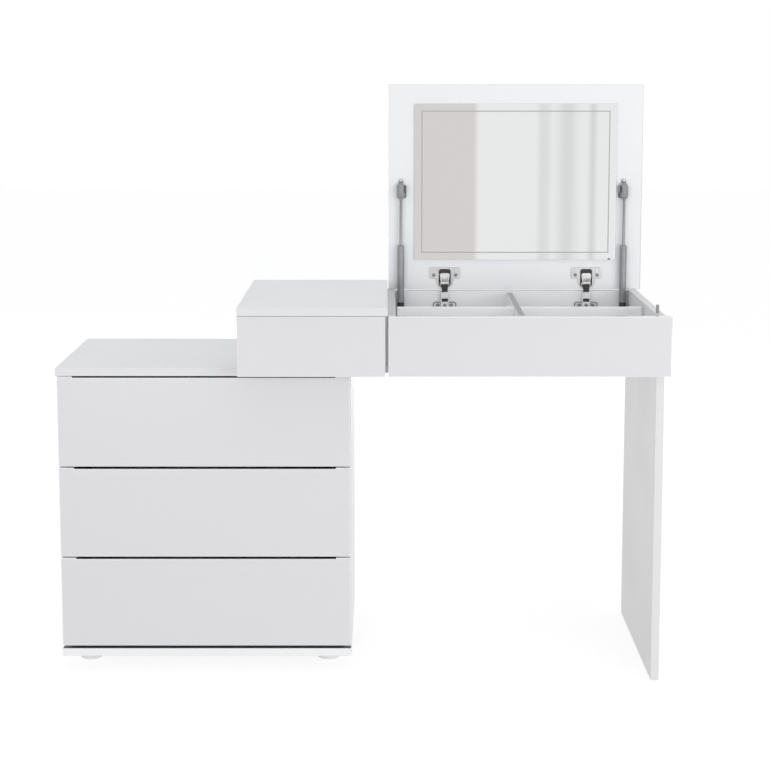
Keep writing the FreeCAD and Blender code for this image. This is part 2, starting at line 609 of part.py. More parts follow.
# Small drawer
node(block("small_drawer_front", (DESK_LEFT, f"{PARTITION_LEFT} - faceGap"), (FRONT, INNER_FRONT),
           (FACE_FOOT, f"{LID_UNDER} - smallFrontGap")))
small_left = f"{DESK_LEFT_IN} + runnerGap"
small_right = f"{PARTITION_LEFT} - board - runnerGap"
small_y = (INNER_FRONT, f"{INNER_BACK} - smallBackGap")
small_z = (SMALL_FOOT, SMALL_TOP)
node(group("small_drawer_sides",
           block("small drawer left side", (small_left, f"{small_left} + boxBoard"), small_y, small_z),
           block("small drawer right side", (f"{small_right} - boxBoard", small_right), small_y, small_z)))
small_in = (f"{small_left} + boxBoard", f"{small_right} - boxBoard")
node(block("small_drawer_back", small_in, (f"{small_y[1]} - boxBoard", small_y[1]), small_z))
node(block("small_drawer_bottom", small_in, (small_y[0], f"{small_y[1]} - boxBoard"),
           (f"{SMALL_FOOT} + boxFloorRise", f"{SMALL_FOOT} + boxFloorRise + boxFloorThick")))
small_run_y = (f"{small_y[0]} + runnerSetBack", f"{small_y[1]} - smallRunnerEnd")
small_slide_z = (f"{SMALL_FOOT} + smallSliderRise", f"{SMALL_FOOT} + smallSliderRise + sliderHeight")
small_rail_z = (f"{small_slide_z[0]} - (runnerHeight - sliderHeight) / 2",
                f"{small_slide_z[1]} + (runnerHeight - sliderHeight) / 2")
node(group("small_drawer_runners",
           block("small left slider", (f"{small_left} - {SLIDER}", small_left), small_run_y, small_slide_z),
           block("small right slider", (small_right, f"{small_right} + {SLIDER}"), small_run_y, small_slide_z)))
rails.append(block("rail small left", (DESK_LEFT_IN, f"{DESK_LEFT_IN} + runnerBar"), small_run_y, small_rail_z))
small_wall = f"({PARTITION_LEFT} - board)"
rails.append(block("rail small right", (f"{small_wall} - runnerBar", small_wall), small_run_y, small_rail_z))
node(group("runner_rails", *rails))

# Lid and mirror
lid_board = block("lid board", (LID_LEFT, DESK_RIGHT), (INNER_BACK, BACK),
                  (LID_FOOT, LID_HEAD))
node(cut("lid_panel", lid_board, *cup_bores, *lid_holes))
glass_x = (f"{LID_LEFT} + mirrorSide", f"{DESK_RIGHT} - mirrorSide")
glass_z = (f"{LID_FOOT} + mirrorUnder", f"{LID_HEAD} - mirrorOver")
glass_back = block("mirror back", glass_x, (f"{INNER_BACK} - mirrorEdge", INNER_BACK), glass_z)
glass_face = wedge("mirror bevel", (f"{glass_x[0]} + mirrorBevel", f"{glass_x[1]} - mirrorBevel"),
                   (f"{INNER_BACK} - mirrorThick", f"{INNER_BACK} - mirrorEdge"),
                   (f"{glass_z[0]} + mirrorBevel", f"{glass_z[1]} - mirrorBevel"), glass_x, glass_z)
node(fuse("mirror", glass_back, glass_face))
node(group("hinge_cups", *cups))
node(group("hinge_pins", *pins))
node(group("lid_strut_brackets", *lid_brackets))
node(group("lid_screws", *lid_screws))

# Gas struts
for side, data in struts.items():
    sx = data["x"]
    socket_x = (f"{sx} - socketHalf", f"{sx} + socketHalf")
    eye = bar(f"{side} socket eye", "x", "socketRadius", socket_x[0], socket_x[1], STRUT_Y, STRUT_FOOT)
    neck = bar(f"{side} socket neck", "z", "cylinderRadius", STRUT_FOOT, TUBE_FOOT, sx, STRUT_Y)
    eye_hole = bar(f"{side} socket bore", "x", "studRadius + studEase", f"{socket_x[0]} - 3", f"{socket_x[1]} + 3",
                   STRUT_Y, STRUT_FOOT)
    node(cut(f"strut_{side}_socket", fuse(f"{side} socket blank", eye, neck), eye_hole))
    tube = bar(f"{side} tube", "z", "cylinderRadius", TUBE_FOOT, TUBE_TOP, sx, STRUT_Y)
    tube_hole = bar(f"{side} tube bore", "z", "rodRadius + studEase", TUBE_FOOT, f"{TUBE_TOP} + 1", sx, STRUT_Y)
    node(cut(f"strut_{side}_cylinder", tube, tube_hole))
    node(bar(f"strut_{side}_rod", "z", "rodRadius", f"{TUBE_TOP} - rodInside", SLEEVE_FOOT, sx, STRUT_Y))
    head = bar(f"{side} head eye", "x", "socketRadius", f"{sx} - headHalf", f"{sx} + headHalf",
               STRUT_Y, STRUT_HEAD)
    sleeve = bar(f"{side} head sleeve", "z", "sleeveRadius", SLEEVE_FOOT, STRUT_HEAD, sx, STRUT_Y)
    tip = taper(f"{side} head tip", "sleeveRadius", "headTipRadius", STRUT_HEAD, f"{STRUT_HEAD} + headTip",
                sx, STRUT_Y)
    node(fuse(f"strut_{side}_rod_end", head, sleeve, tip))

# Push latch
latch_foot = f"({PANEL_TOP} - latchLength)"
latch_tube = bar("latch tube", "z", "latchRadius", latch_foot, PANEL_TOP, LATCH_X, LATCH_Y)
latch_hole = bar("latch tube bore", "z", "plungerRadius + plungerEase", f"{latch_foot} + latchFloor",
                 f"{PANEL_TOP} + 1", LATCH_X, LATCH_Y)
node(cut("latch_housing", latch_tube, latch_hole))
node(bar("latch_plunger", "z", "plungerRadius", f"{PANEL_TOP} - plungerIn", f"{PANEL_TOP} + plungerOut",
         LATCH_X, LATCH_Y))

doc.recompute()

# Check every object, then write the sub-parts
faults = []
for item in doc.Objects:
    if "Invalid" in item.State or "Error" in item.State:
        faults.append(f"{item.Label}: {item.State}")
    shape = getattr(item, "Shape", None)
    if shape is not None and (shape.isNull() or not shape.isValid()):
        faults.append(f"{item.Label}: shape not usable")
if faults:
    raise RuntimeError("; ".join(faults))
os.makedirs("parts", exist_ok=True)
for item in nodes:
    item.Shape.exportStep(f"parts/{item.Label}.step")
    box = item.Shape.BoundBox
    print(f"{item.Label}: {len(item.Shape.Solids)} solids, "
          f"x {box.XMin:.1f} {box.XMax:.1f}, y {box.YMin:.1f} {box.YMax:.1f}, z {box.ZMin:.1f} {box.ZMax:.1f}")
print(f"{len(nodes)} sub-parts written")
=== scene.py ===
"""Looks of a dressing table: a drawer chest, a desk unit and a mirrored lid on gas struts.

Metres, +Z up, front towards -Y, lid raised at rest.
"""
import json
import logging
import math
from dataclasses import dataclass, replace
from enum import Enum

import bmesh
import bpy
from mathutils import Matrix, Vector

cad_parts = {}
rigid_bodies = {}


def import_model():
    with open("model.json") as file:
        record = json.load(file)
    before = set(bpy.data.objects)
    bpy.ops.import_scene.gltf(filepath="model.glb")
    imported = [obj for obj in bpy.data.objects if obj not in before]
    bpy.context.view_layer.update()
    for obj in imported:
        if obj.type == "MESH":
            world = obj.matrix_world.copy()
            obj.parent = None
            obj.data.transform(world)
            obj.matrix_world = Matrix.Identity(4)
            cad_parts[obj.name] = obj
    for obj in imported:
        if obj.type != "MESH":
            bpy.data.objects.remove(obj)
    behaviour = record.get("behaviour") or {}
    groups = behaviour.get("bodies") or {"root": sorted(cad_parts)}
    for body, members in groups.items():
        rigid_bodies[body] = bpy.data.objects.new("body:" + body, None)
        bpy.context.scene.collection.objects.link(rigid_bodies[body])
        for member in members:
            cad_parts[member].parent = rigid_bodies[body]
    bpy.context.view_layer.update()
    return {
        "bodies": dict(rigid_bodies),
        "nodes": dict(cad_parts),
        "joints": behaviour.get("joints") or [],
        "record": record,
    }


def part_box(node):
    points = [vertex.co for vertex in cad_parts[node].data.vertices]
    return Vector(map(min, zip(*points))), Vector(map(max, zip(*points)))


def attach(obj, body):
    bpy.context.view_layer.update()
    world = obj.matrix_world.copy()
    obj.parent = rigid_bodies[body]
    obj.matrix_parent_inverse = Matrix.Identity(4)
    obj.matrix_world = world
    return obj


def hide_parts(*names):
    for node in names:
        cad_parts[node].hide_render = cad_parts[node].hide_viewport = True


LOG = logging.getLogger("dressing_table")

Colour = tuple[float, float, float]
Point = tuple[float, float, float]
Span = tuple[float, float]
Loop = list[tuple[float, float]]
Profile = tuple[Span, ...]
Corners = tuple[bool, bool, bool, bool]
Feeds = dict[str | int, object]

# Shaping of the meshes
WELD_GAP = 1e-6
SHARP_ANGLE = math.radians(38)
CORNER_STEPS = 6
BLOCK_SEGMENTS = 3
BOTH_WAYS = (-1, 1)
WHOLE = (1.0, 1.0, 1.0)
SECOND_FINISH = 1
THIRD_FINISH = 2
ALL_ROUND = (True, True, True, True)
LEFT_ROUND = (True, False, False, True)
FOOT_ROUND = (True, True, False, False)
HEAD_ROUND = (False, False, True, True)

# Softening of sharp edges
WELD_REACH = WELD_GAP * 5
FLAT_ANGLE = math.radians(0.5)
ARRIS_ANGLE = math.radians(40)
ARRIS_SEGMENTS = 2
EVEN_WEIGHT = 100
METAL_ARRIS = 0.0003

# Pattern of the finishes
CLOUD_SPAN = (0.3, 0.7)
FINE_DRIFT = 5.0
FINE_OCTAVES = 4.0
BROAD_OCTAVES = 1.0
GLOSS_PITCH = 5.0
GLOSS_OCTAVES = 3.0
FIBRE_OCTAVES = 6.0
RELIEF_OCTAVES = 2.0
RELIEF_STRENGTH = 0.35
# Share of a face's normal along one axis past which the face gets painted shade
SHADE_FACING_LIMIT = 0.9
WHITE = (1.0, 1.0, 1.0, 1.0)


class Grain(Enum):
    """How a surface's fine relief runs."""

    PEEL = "sprayed lacquer"
    PEARL = "pressed board face"
    FIBRE = "felted board"
    BRUSHED = "drawn metal"
    SPANGLE = "zinc crystals"
    MOULDED = "moulded plastic"


class Axis(Enum):
    """The frame's axes, as the turn that brings an upright profile onto each."""

    X = Matrix.Rotation(math.pi / 2, 4, "Y")
    Y = Matrix.Rotation(-math.pi / 2, 4, "X")
    Z = Matrix.Identity(4)


class Facing(Enum):
    """The way that the faces with painted shade face: its axis and the sign along it."""

    UP = ("Z", 1.0)
    FRONT = ("Y", -1.0)


class Plane(Enum):
    """The plane that an outline is drawn in: its two directions and its thickness."""

    FACING = ((1, 0, 0), (0, 0, 1), (0, 1, 0))
    SIDE = ((0, 1, 0), (0, 0, 1), (1, 0, 0))


class Side(Enum):
    """The two gas struts: the place of each across the desk, the way to its wall and that wall."""

    LEFT = ("left", 0.084, -1, 0.071)
    RIGHT = ("right", 0.570, 1, 0.583)


class Drawer(Enum):
    """The four drawers: the start of each one's node names and its body."""

    UPPER = ("drawer_upper", "upper_drawer")
    MIDDLE = ("drawer_middle", "middle_drawer")
    LOWER = ("drawer_lower", "lower_drawer")
    SMALL = ("small_drawer", "small_drawer")


def wire(tree: bpy.types.NodeTree, node: bpy.types.Node, feeds: Feeds) -> None:
    """Feeds a node's inputs.

    Args:
        tree: The nodes that it belongs to.
        node: The node.
        feeds: Its inputs by name or number, each with a constant or with another node's output.
    """
    for socket, feed in feeds.items():
        if isinstance(feed, bpy.types.NodeSocket):
            tree.links.new(feed, node.inputs[socket])
        else:
            node.inputs[socket].default_value = feed


def add_node(tree: bpy.types.NodeTree, kind: str, feeds: Feeds | None = None) -> bpy.types.Node:
    """Adds one node.

    Args:
        tree: The nodes that it joins.
        kind: Its type.
        feeds: Its inputs, as for wire.

    Returns:
        The node.
    """
    node = tree.nodes.new(kind)
    wire(tree, node, feeds or {})
    return node


def noise(tree: bpy.types.NodeTree, spot: bpy.types.NodeSocket, scale: float,
          octaves: float) -> bpy.types.NodeSocket:
    """Adds one noise texture.

    Args:
        tree: The material's nodes.
        spot: The place on the surface.
        scale: Marks per metre.
        octaves: Octaves of finer noise.

    Returns:
        Its value.
    """
    feeds = {"Vector": spot, "Scale": scale, "Detail": octaves}
    return add_node(tree, "ShaderNodeTexNoise", feeds).outputs[0]


def cells(tree: bpy.types.NodeTree, spot: bpy.types.NodeSocket, scale: float) -> bpy.types.Node:
    """Adds one cell texture with a number of cells per metre."""
    return add_node(tree, "ShaderNodeTexVoronoi", {"Vector": spot, "Scale": scale})


@dataclass(frozen=True)
class Finish:
    """One finish of the table: the drift of its colour, its gloss and its fine relief.

    Attributes:
        name: Name of the material.
        colour: Middle colour, linear.
        drift: Share by which the colour drifts.
        drift_scale: Drifts per metre.
        gloss: Least and most roughness.
        grain: Kind of fine relief.
        grain_scale: Relief marks per metre.
        grain_depth: Height of the relief.
        metallic: 1 for bare metal.
        specular: Specular level.
        coat: Weight of a clear coat.
        coat_roughness: Roughness of that coat.
        run: Stretch of the pattern along the three axes.
        painted_shade: Colour painted as shade on the faces that face one way, or none.
        shade_faces: The way that the faces with painted shade face.
    """

    name: str
    colour: Colour
    drift: float
    drift_scale: float
    gloss: Span
    grain: Grain
    grain_scale: float
    grain_depth: float
    metallic: float = 0.0
    specular: float = 0.5
    coat: float = 0.0
    coat_roughness: float = 0.1
    run: Point = (1.0, 1.0, 1.0)
    painted_shade: Colour | None = None
    shade_faces: Facing = Facing.UP

    def shade(self, share: float) -> tuple[float, float, float, float]:
        """The colour, lighter or darker by a share."""
        return (*(min(1.0, part * (1.0 + share)) for part in self.colour), 1.0)

    def material(self) -> bpy.types.Material:
        """Builds the node material the first time it is asked for.

        Returns:
            The material.
        """
        found = bpy.data.materials.get(self.name)
        if found:
            return found
        material = bpy.data.materials.new(self.name)
        material.use_nodes = True
        tree = material.node_tree
        coords = add_node(tree, "ShaderNodeTexCoord")
        place = add_node(tree, "ShaderNodeMapping", {"Vector": coords.outputs["Object"], "Scale": self.run})
        spot = place.outputs["Vector"]
        wire(tree, tree.nodes["Principled BSDF"], {
            "Metallic": self.metallic,
            "Specular IOR Level": self.specular,
            "Coat Weight": self.coat,
            "Coat Roughness": self.coat_roughness,
            "Base Color": self._paint(tree, spot),
            "Roughness": self._polish(tree, spot),
            "Normal": self._emboss(tree, spot),
        })
        return material

    def _paint(self, tree: bpy.types.NodeTree, spot: bpy.types.NodeSocket) -> bpy.types.NodeSocket:
        """Lets the colour drift over the surface, and paints shade on the faces that face one way.

        Args:
            tree: The material's nodes.
            spot: The place on the surface.

        Returns:
            The colour.
        """
        if self.grain is Grain.SPANGLE:
            source = cells(tree, spot, self.drift_scale).outputs["Color"]
        else:
            octaves = FINE_OCTAVES if self.drift_scale > FINE_DRIFT else BROAD_OCTAVES
            source = noise(tree, spot, self.drift_scale, octaves)
        ramp = add_node(tree, "ShaderNodeValToRGB", {"Fac": source})
        low, high = ramp.color_ramp.elements
        low.position, high.position = CLOUD_SPAN
        low.color, high.color = self.shade(-self.drift), self.shade(self.drift)
        if not self.painted_shade:
            return ramp.outputs["Color"]
        # Painted shade: faces turned the chosen way take the shade colour instead of the drifting colour
        axis, sign = self.shade_faces.value
        surface = add_node(tree, "ShaderNodeNewGeometry")
        split = add_node(tree, "ShaderNodeSeparateXYZ", {"Vector": surface.outputs["Normal"]})
        in_shade = add_node(tree, "ShaderNodeMath", {0: split.outputs[axis], 1: SHADE_FACING_LIMIT * sign})
        in_shade.operation = "GREATER_THAN" if sign > 0.0 else "LESS_THAN"
        blend = add_node(tree, "ShaderNodeMix")
        blend.data_type = "RGBA"
        wire(tree, blend, {"Factor": in_shade.outputs[0], "A": ramp.outputs["Color"], "B": (*self.painted_shade, 1.0)})
        return blend.outputs["Result"]

    def _polish(self, tree: bpy.types.NodeTree, spot: bpy.types.NodeSocket) -> bpy.types.NodeSocket:
        """Lets the gloss vary over the surface.

        Args:
            tree: The material's nodes.
            spot: The place on the surface.

        Returns:
            The roughness.
        """
        span = add_node(tree, "ShaderNodeMapRange", {
            "Value": noise(tree, spot, self.drift_scale * GLOSS_PITCH, GLOSS_OCTAVES),
            "From Min": CLOUD_SPAN[0],
            "From Max": CLOUD_SPAN[1],
            "To Min": self.gloss[0],
            "To Max": self.gloss[1],
        })
        return span.outputs["Result"]

    def _emboss(self, tree: bpy.types.NodeTree, spot: bpy.types.NodeSocket) -> bpy.types.NodeSocket:
        """Raises the fine relief.

        Args:
            tree: The material's nodes.
            spot: The place on the surface.

        Returns:
            The normal.
        """
        if self.grain in (Grain.PEARL, Grain.SPANGLE):
            height = cells(tree, spot, self.grain_scale).outputs["Distance"]
        else:
            octaves = FIBRE_OCTAVES if self.grain is Grain.FIBRE else RELIEF_OCTAVES
            height = noise(tree, spot, self.grain_scale, octaves)
        feeds = {"Strength": RELIEF_STRENGTH, "Distance": self.grain_depth, "Height": height}
        return add_node(tree, "ShaderNodeBump", feeds).outputs["Normal"]


# Lacquered fronts, and softened edges: lighter ones as painted highlight, the lid's darker ones as painted
# shade
FRONT_LACQUER = Finish("front_lacquer", (0.748, 0.746, 0.761), 0.010, 0.9, (0.16, 0.24),
                       Grain.PEEL, 420.0, 2e-5, coat=0.35, coat_roughness=0.05)
# Lighter colour on the fronts' and boards' rounded edges: painted highlight.
LIT_FRONT_ARRIS = Finish("front_arris", (0.925, 0.928, 0.935), 0.012, 14.0, (0.26, 0.38), Grain.PEEL, 900.0, 2e-5)
LIT_BOARD_ARRIS = replace(LIT_FRONT_ARRIS, name="lit_board_arris", colour=(0.880, 0.884, 0.892))
# Darker colour on the lid's rounded edges: painted shade.
SHADED_LID_ARRIS = replace(LIT_FRONT_ARRIS, name="shaded_lid_arris", colour=(0.640, 0.645, 0.655))

# Boards
BOARD_FACE = Finish("board_face", (0.855, 0.860, 0.872), 0.010, 0.9, (0.30, 0.40), Grain.PEARL, 1300.0, 3e-5)
# The tops' front faces take a darker colour: painted shade on the faces towards the front.
TOP_BOARD = replace(BOARD_FACE, name="top_board", painted_shade=(0.760, 0.764, 0.776), shade_faces=Facing.FRONT)
# The partition: colour a little darker than the board face, its upward faces painted grey as shade.
TOP_SHADED_BOARD = replace(BOARD_FACE, name="top_shaded_board", colour=(0.845, 0.845, 0.851),
                       painted_shade=(0.580, 0.583, 0.590))
# The leg panel: a darker copy of the board face as painted shade for its inner face, its upward faces painted
# a little darker still as shade.
SHADED_LEG_BOARD = replace(BOARD_FACE, name="shaded_leg_board", colour=(0.775, 0.775, 0.779), painted_shade=(0.730, 0.731, 0.735))
# The tray divider: its upward faces painted dark grey as shade.
DIVIDER_BOARD = replace(BOARD_FACE, name="divider_board", painted_shade=(0.290, 0.294, 0.302))
LID_FACE = Finish("lid_face", (0.860, 0.867, 0.880), 0.008, 0.9, (0.26, 0.36), Grain.PEARL, 1300.0, 2e-5)
# The base: its upward faces painted near black as the shade in the slit under the lowest drawer.
BASE_BOARD = replace(LID_FACE, name="base_board", colour=(0.920, 0.921, 0.924), painted_shade=(0.160, 0.160, 0.165))
# The tray rails: a lighter copy of the lid's face, painted light to lift them out of the tray's shade.
LIT_RAIL_BOARD = replace(LID_FACE, name="lit_rail_board", colour=(0.945, 0.948, 0.955))
BOX_BOARD = Finish("box_board", (0.790, 0.792, 0.796), 0.020, 9.0, (0.42, 0.55), Grain.PEARL, 900.0, 5e-5)
BACK_BOARD = Finish("back_board_coat", (0.815, 0.814, 0.808), 0.012, 70.0, (0.50, 0.65),
                    Grain.FIBRE, 320.0, 9e-5)

# Mirror
MIRROR_SILVER = Finish("mirror_silver", (0.905, 0.915, 0.915), 0.004, 3.0, (0.006, 0.016),
                       Grain.PEEL, 6.0, 2e-6, metallic=1.0)
GROUND_LINE = Finish("ground_line", (0.420, 0.425, 0.430), 0.040, 60.0, (0.30, 0.42),
                     Grain.FIBRE, 1500.0, 2e-5)
GLASS_EDGE = Finish("glass_edge", (0.560, 0.660, 0.640), 0.060, 50.0, (0.14, 0.24), Grain.FIBRE, 700.0, 2e-5)

# Metals
NICKEL = Finish("hinge_nickel", (0.775, 0.774, 0.772), 0.020, 60.0, (0.24, 0.32),
                Grain.BRUSHED, 900.0, 5e-6, metallic=1.0, run=(1.0, 1.0, 0.15))
# A lighter copy of the nickel for the tongues and arms: painted light.
LIT_LINK_NICKEL = replace(NICKEL, name="lit_link_nickel", colour=(0.930, 0.929, 0.926))
ZINC = Finish("zinc_plate", (0.560, 0.580, 0.600), 0.040, 260.0, (0.32, 0.42),
              Grain.SPANGLE, 420.0, 1e-5, metallic=1.0)
ROD_STEEL = Finish("polished_rod", (0.270, 0.274, 0.285), 0.030, 90.0, (0.32, 0.42),
                   Grain.BRUSHED, 1400.0, 1e-5, metallic=1.0, run=(1.0, 1.0, 0.06))
TUBE_PAINT = Finish("cylinder_paint", (0.270, 0.275, 0.290), 0.060, 60.0, (0.30, 0.42),
                    Grain.PEEL, 900.0, 3e-5, metallic=0.35, coat=0.15, coat_roughness=0.25)
# Dark steel: the screw heads' dark finish, partly painted shade for their dark holes; also painted shade on
# the hinge plates' rims and on the cup pieces' rounded edges.
DARK_STEEL_AND_SHADE = Finish("dark_steel_and_shade", (0.300, 0.300, 0.310), 0.120, 300.0, (0.28, 0.44),
                     Grain.BRUSHED, 1800.0, 2e-5, metallic=1.0)

# Plastics
BLACK_PLASTIC = Finish("dark_plastic", (0.028, 0.028, 0.031), 0.150, 140.0, (0.38, 0.52),
                       Grain.MOULDED, 1500.0, 4e-5)
GREY_PLASTIC = Finish("fitting_plastic", (0.230, 0.235, 0.245), 0.080, 120.0, (0.36, 0.50),
                      Grain.MOULDED, 1500.0, 4e-5)
FITTING_GREY = Finish("strut_fitting", (0.285, 0.290, 0.300), 0.060, 120.0, (0.40, 0.52),
                      Grain.MOULDED, 1500.0, 4e-5)
FOOT_PLASTIC = Finish("foot_moulding", (0.920, 0.922, 0.925), 0.030, 70.0, (0.40, 0.52),
                      Grain.MOULDED, 1200.0, 4e-5)


def rounded(u: Span, v: Span, radius: float, corners: Corners = ALL_ROUND) -> Loop:
    """A rectangle with some of its corners rounded.

    Args:
        u: Its ends along the first direction.
        v: Its ends along the second direction.
        radius: Radius of the corners.
        corners: Which corners are rounded, from the lower left, anticlockwise.

    Returns:
        The outline's points.
    """
    points: Loop = []
    centres = ((u[0], v[0], 1, 1, math.pi), (u[1], v[0], -1, 1, 1.5 * math.pi),
               (u[1], v[1], -1, -1, 0.0), (u[0], v[1], 1, -1, 0.5 * math.pi))
    for (cu, cv, du, dv, start), is_round in zip(centres, corners):
        if not is_round:
            points.append((cu, cv))
            continue
        for step in range(CORNER_STEPS + 1):
            angle = start + step / CORNER_STEPS * math.pi / 2
            points.append((cu + du * radius + radius * math.cos(angle),
                           cv + dv * radius + radius * math.sin(angle)))
    return points


def ring(u: float, v: float, radius: float, steps: int = 24) -> Loop:
    """A circle as an outline.

    Args:
        u: Its centre along the first direction.
        v: Its centre along the second direction.
        radius: Its radius.
        steps: Number of points.

    Returns:
        The outline's points.
    """
    angles = [2.0 * math.pi / steps * step for step in range(steps)]
    return [(u + radius * math.cos(angle), v + radius * math.sin(angle)) for angle in angles]


def raised(profile: Profile, by: float) -> Loop:
    """A turned profile, moved along its axis."""
    return [(radius, height + by) for radius, height in profile]


def pointed(profile: Profile, way: float) -> Loop:
    """A turned profile, kept for a way of 1 and turned end for end for a way of -1."""
    return [(radius, way * height) for radius, height in profile]


@dataclass(frozen=True)
class Patch:
    """A rounded shape that is alike on both sides of a fitting's middle plane.

    Attributes:
        half: Half its width.
        z: Its foot and head.
        radius: Radius of its corners, or of its edges as a block.
        y: Its front and back.
    """

    half: float
    z: Span
    radius: float
    y: Span = (0.0, 0.0)

    def x(self, middle: float) -> Span:
        """Its ends across, about a middle plane."""
        return (middle - self.half, middle + self.half)

    def outline(self, middle: float) -> Loop:
        """Its outline from the front, about a middle plane."""
        return rounded(self.x(middle), self.z, self.radius)


@dataclass(frozen=True)
class Cheek:
    """The two side walls of a folded link.

    Attributes:
        offset: Distance of each from the link's middle plane.
        half: Half the thickness of each.
        y: Their front and back.
        z: Their foot and head.
        radius: Radius of their corners.
        corners: Which corners are rounded.
    """

    offset: float
    half: float
    y: Span
    z: Span
    radius: float
    corners: Corners = ALL_ROUND


class Blank:
    """A mesh being shaped in the table's frame."""

    def __init__(self) -> None:
        """Starts with nothing."""
        self.work = bmesh.new()

    def _add(self, part: bmesh.types.BMesh, finish: int, turn_out: bool = True) -> None:
        """Joins a shaped part to the mesh and frees it.

        Args:
            part: The part.
            finish: Index of its finish on the piece.
            turn_out: Whether its faces are first turned outwards.
        """
        if turn_out:
            bmesh.ops.recalc_face_normals(part, faces=part.faces)
        for face in part.faces:
            face.material_index = finish
        scrap = bpy.data.meshes.new("scrap")
        part.to_mesh(scrap)
        part.free()
        self.work.from_mesh(scrap)
        bpy.data.meshes.remove(scrap)

    def block(self, x: Span, y: Span, z: Span, round_by: float = 0.0, finish: int = 0) -> None:
        """Adds a block with softened edges.

        Args:
            x: Its ends across.
            y: Its ends from front to back.
            z: Its foot and head.
            round_by: Radius of its edges.
            finish: Index of its finish on the piece.
        """
        part = bmesh.new()
        bmesh.ops.create_cube(part, size=1.0)
        middle = Vector(((x[0] + x[1]) / 2, (y[0] + y[1]) / 2, (z[0] + z[1]) / 2))
        size = Vector((x[1] - x[0], y[1] - y[0], z[1] - z[0]))
        part.transform(Matrix.Translation(middle) @ Matrix.Diagonal((*size, 1.0)))
        if round_by:
            bmesh.ops.bevel(part, geom=part.edges, offset=round_by, segments=BLOCK_SEGMENTS,
                            affect="EDGES", profile=0.5)
        self._add(part, finish)

    def lump(self, patch: Patch, middle: float, finish: int = 0) -> None:
        """Adds a patch as a block, about a middle plane."""
        self.block(patch.x(middle), patch.y, patch.z, patch.radius, finish)

    def turned(self, profile: Loop | Profile, centre: Point, axis: Axis, steps: int = 32,
               finish: int = 0) -> None:
        """Adds a turned part.

        Args:
            profile: Its radius and its height along the axis, from end to end.
            centre: Where the height is 0.
            axis: The axis that it is turned on.
            steps: Facets round it.
            finish: Index of its finish on the piece.
        """
        part = bmesh.new()
        rings = []
        for radius, height in profile:
            if radius <= 0.0:
                rings.append([part.verts.new((0.0, 0.0, height))])
                continue
            rings.append([part.verts.new((u, v, height)) for u, v in ring(0.0, 0.0, radius, steps)])
        for low, high in zip(rings, rings[1:]):
            if len(low) == 1 and len(high) == 1:
                continue
            for step in range(steps):
                after = (step + 1) % steps
                if len(low) == 1:
                    part.faces.new((low[0], high[after], high[step]))
                elif len(high) == 1:
                    part.faces.new((low[step], low[after], high[0]))
                else:
                    part.faces.new((low[step], low[after], high[after], high[step]))
        for end in (rings[0], rings[-1]):
            if len(end) > 1 and profile[0] != profile[-1]:
                part.faces.new(end)
        bmesh.ops.remove_doubles(part, verts=part.verts, dist=WELD_GAP)
        part.transform(Matrix.Translation(Vector(centre)) @ axis.value)
        self._add(part, finish)

    def plate(self, loops: list[Loop], plane: Plane, span: Span, finish: int = 0) -> None:
        """Adds a flat part with holes.

        Args:
            loops: Its outline, then its holes.
            plane: The plane that these are drawn in.
            span: Its two faces along that plane's thickness.
            finish: Index of its finish on the piece.
        """
        curve = bpy.data.curves.new("outline", "CURVE")
        curve.dimensions = "2D"
        curve.fill_mode = "BOTH"
        curve.extrude = (span[1] - span[0]) / 2
        for loop in loops:
            spline = curve.splines.new("POLY")
            spline.points.add(len(loop) - 1)
            for point, (u, v) in zip(spline.points, loop):
                point.co = (u, v, 0.0, 1.0)
            spline.use_cyclic_u = True
        holder = bpy.data.objects.new("outline", curve)
        mesh = bpy.data.meshes.new_from_object(holder)
        part = bmesh.new()
        part.from_mesh(mesh)
        bmesh.ops.remove_doubles(part, verts=part.verts, dist=WELD_GAP)
        first, second, through = (Vector(way) for way in plane.value)
        lay = Matrix((first, second, through)).transposed().to_4x4()
        part.transform(Matrix.Translation(through * (span[0] + span[1]) / 2) @ lay)
        self._add(part, finish)
        bpy.data.meshes.remove(mesh)
        bpy.data.objects.remove(holder)
        bpy.data.curves.remove(curve)

    def cheeks(self, cheek: Cheek, middle: float) -> None:
        """Adds the two side walls of a folded link.

        Args:
            cheek: The walls.
            middle: The link's middle plane.
        """
        outline = rounded(cheek.y, cheek.z, cheek.radius, cheek.corners)
        for way in BOTH_WAYS:
            edge = middle + way * cheek.offset
            self.plate([outline], Plane.SIDE, (edge - cheek.half, edge + cheek.half))

    def stamp(self, pattern: bpy.types.Mesh, place: Matrix, finish: int = 0) -> None:
        """Adds a copy of a finished mesh.

        Args:
            pattern: The mesh.
            place: Where the copy goes.
            finish: Index of its finish on the piece.
        """
        part = bmesh.new()
        part.from_mesh(pattern)
        part.transform(place)
        self._add(part, finish, turn_out=False)

    def mesh(self, name: str) -> bpy.types.Mesh:
        """Ends the shaping.

        Args:
            name: Name of the mesh.

        Returns:
            The mesh, with edges sharper than a soft round kept sharp.
        """
        made = bpy.data.meshes.new(name)
        self.work.to_mesh(made)
        self.work.free()
        made.shade_smooth()
        made.set_sharp_from_angle(angle=SHARP_ANGLE)
        return made


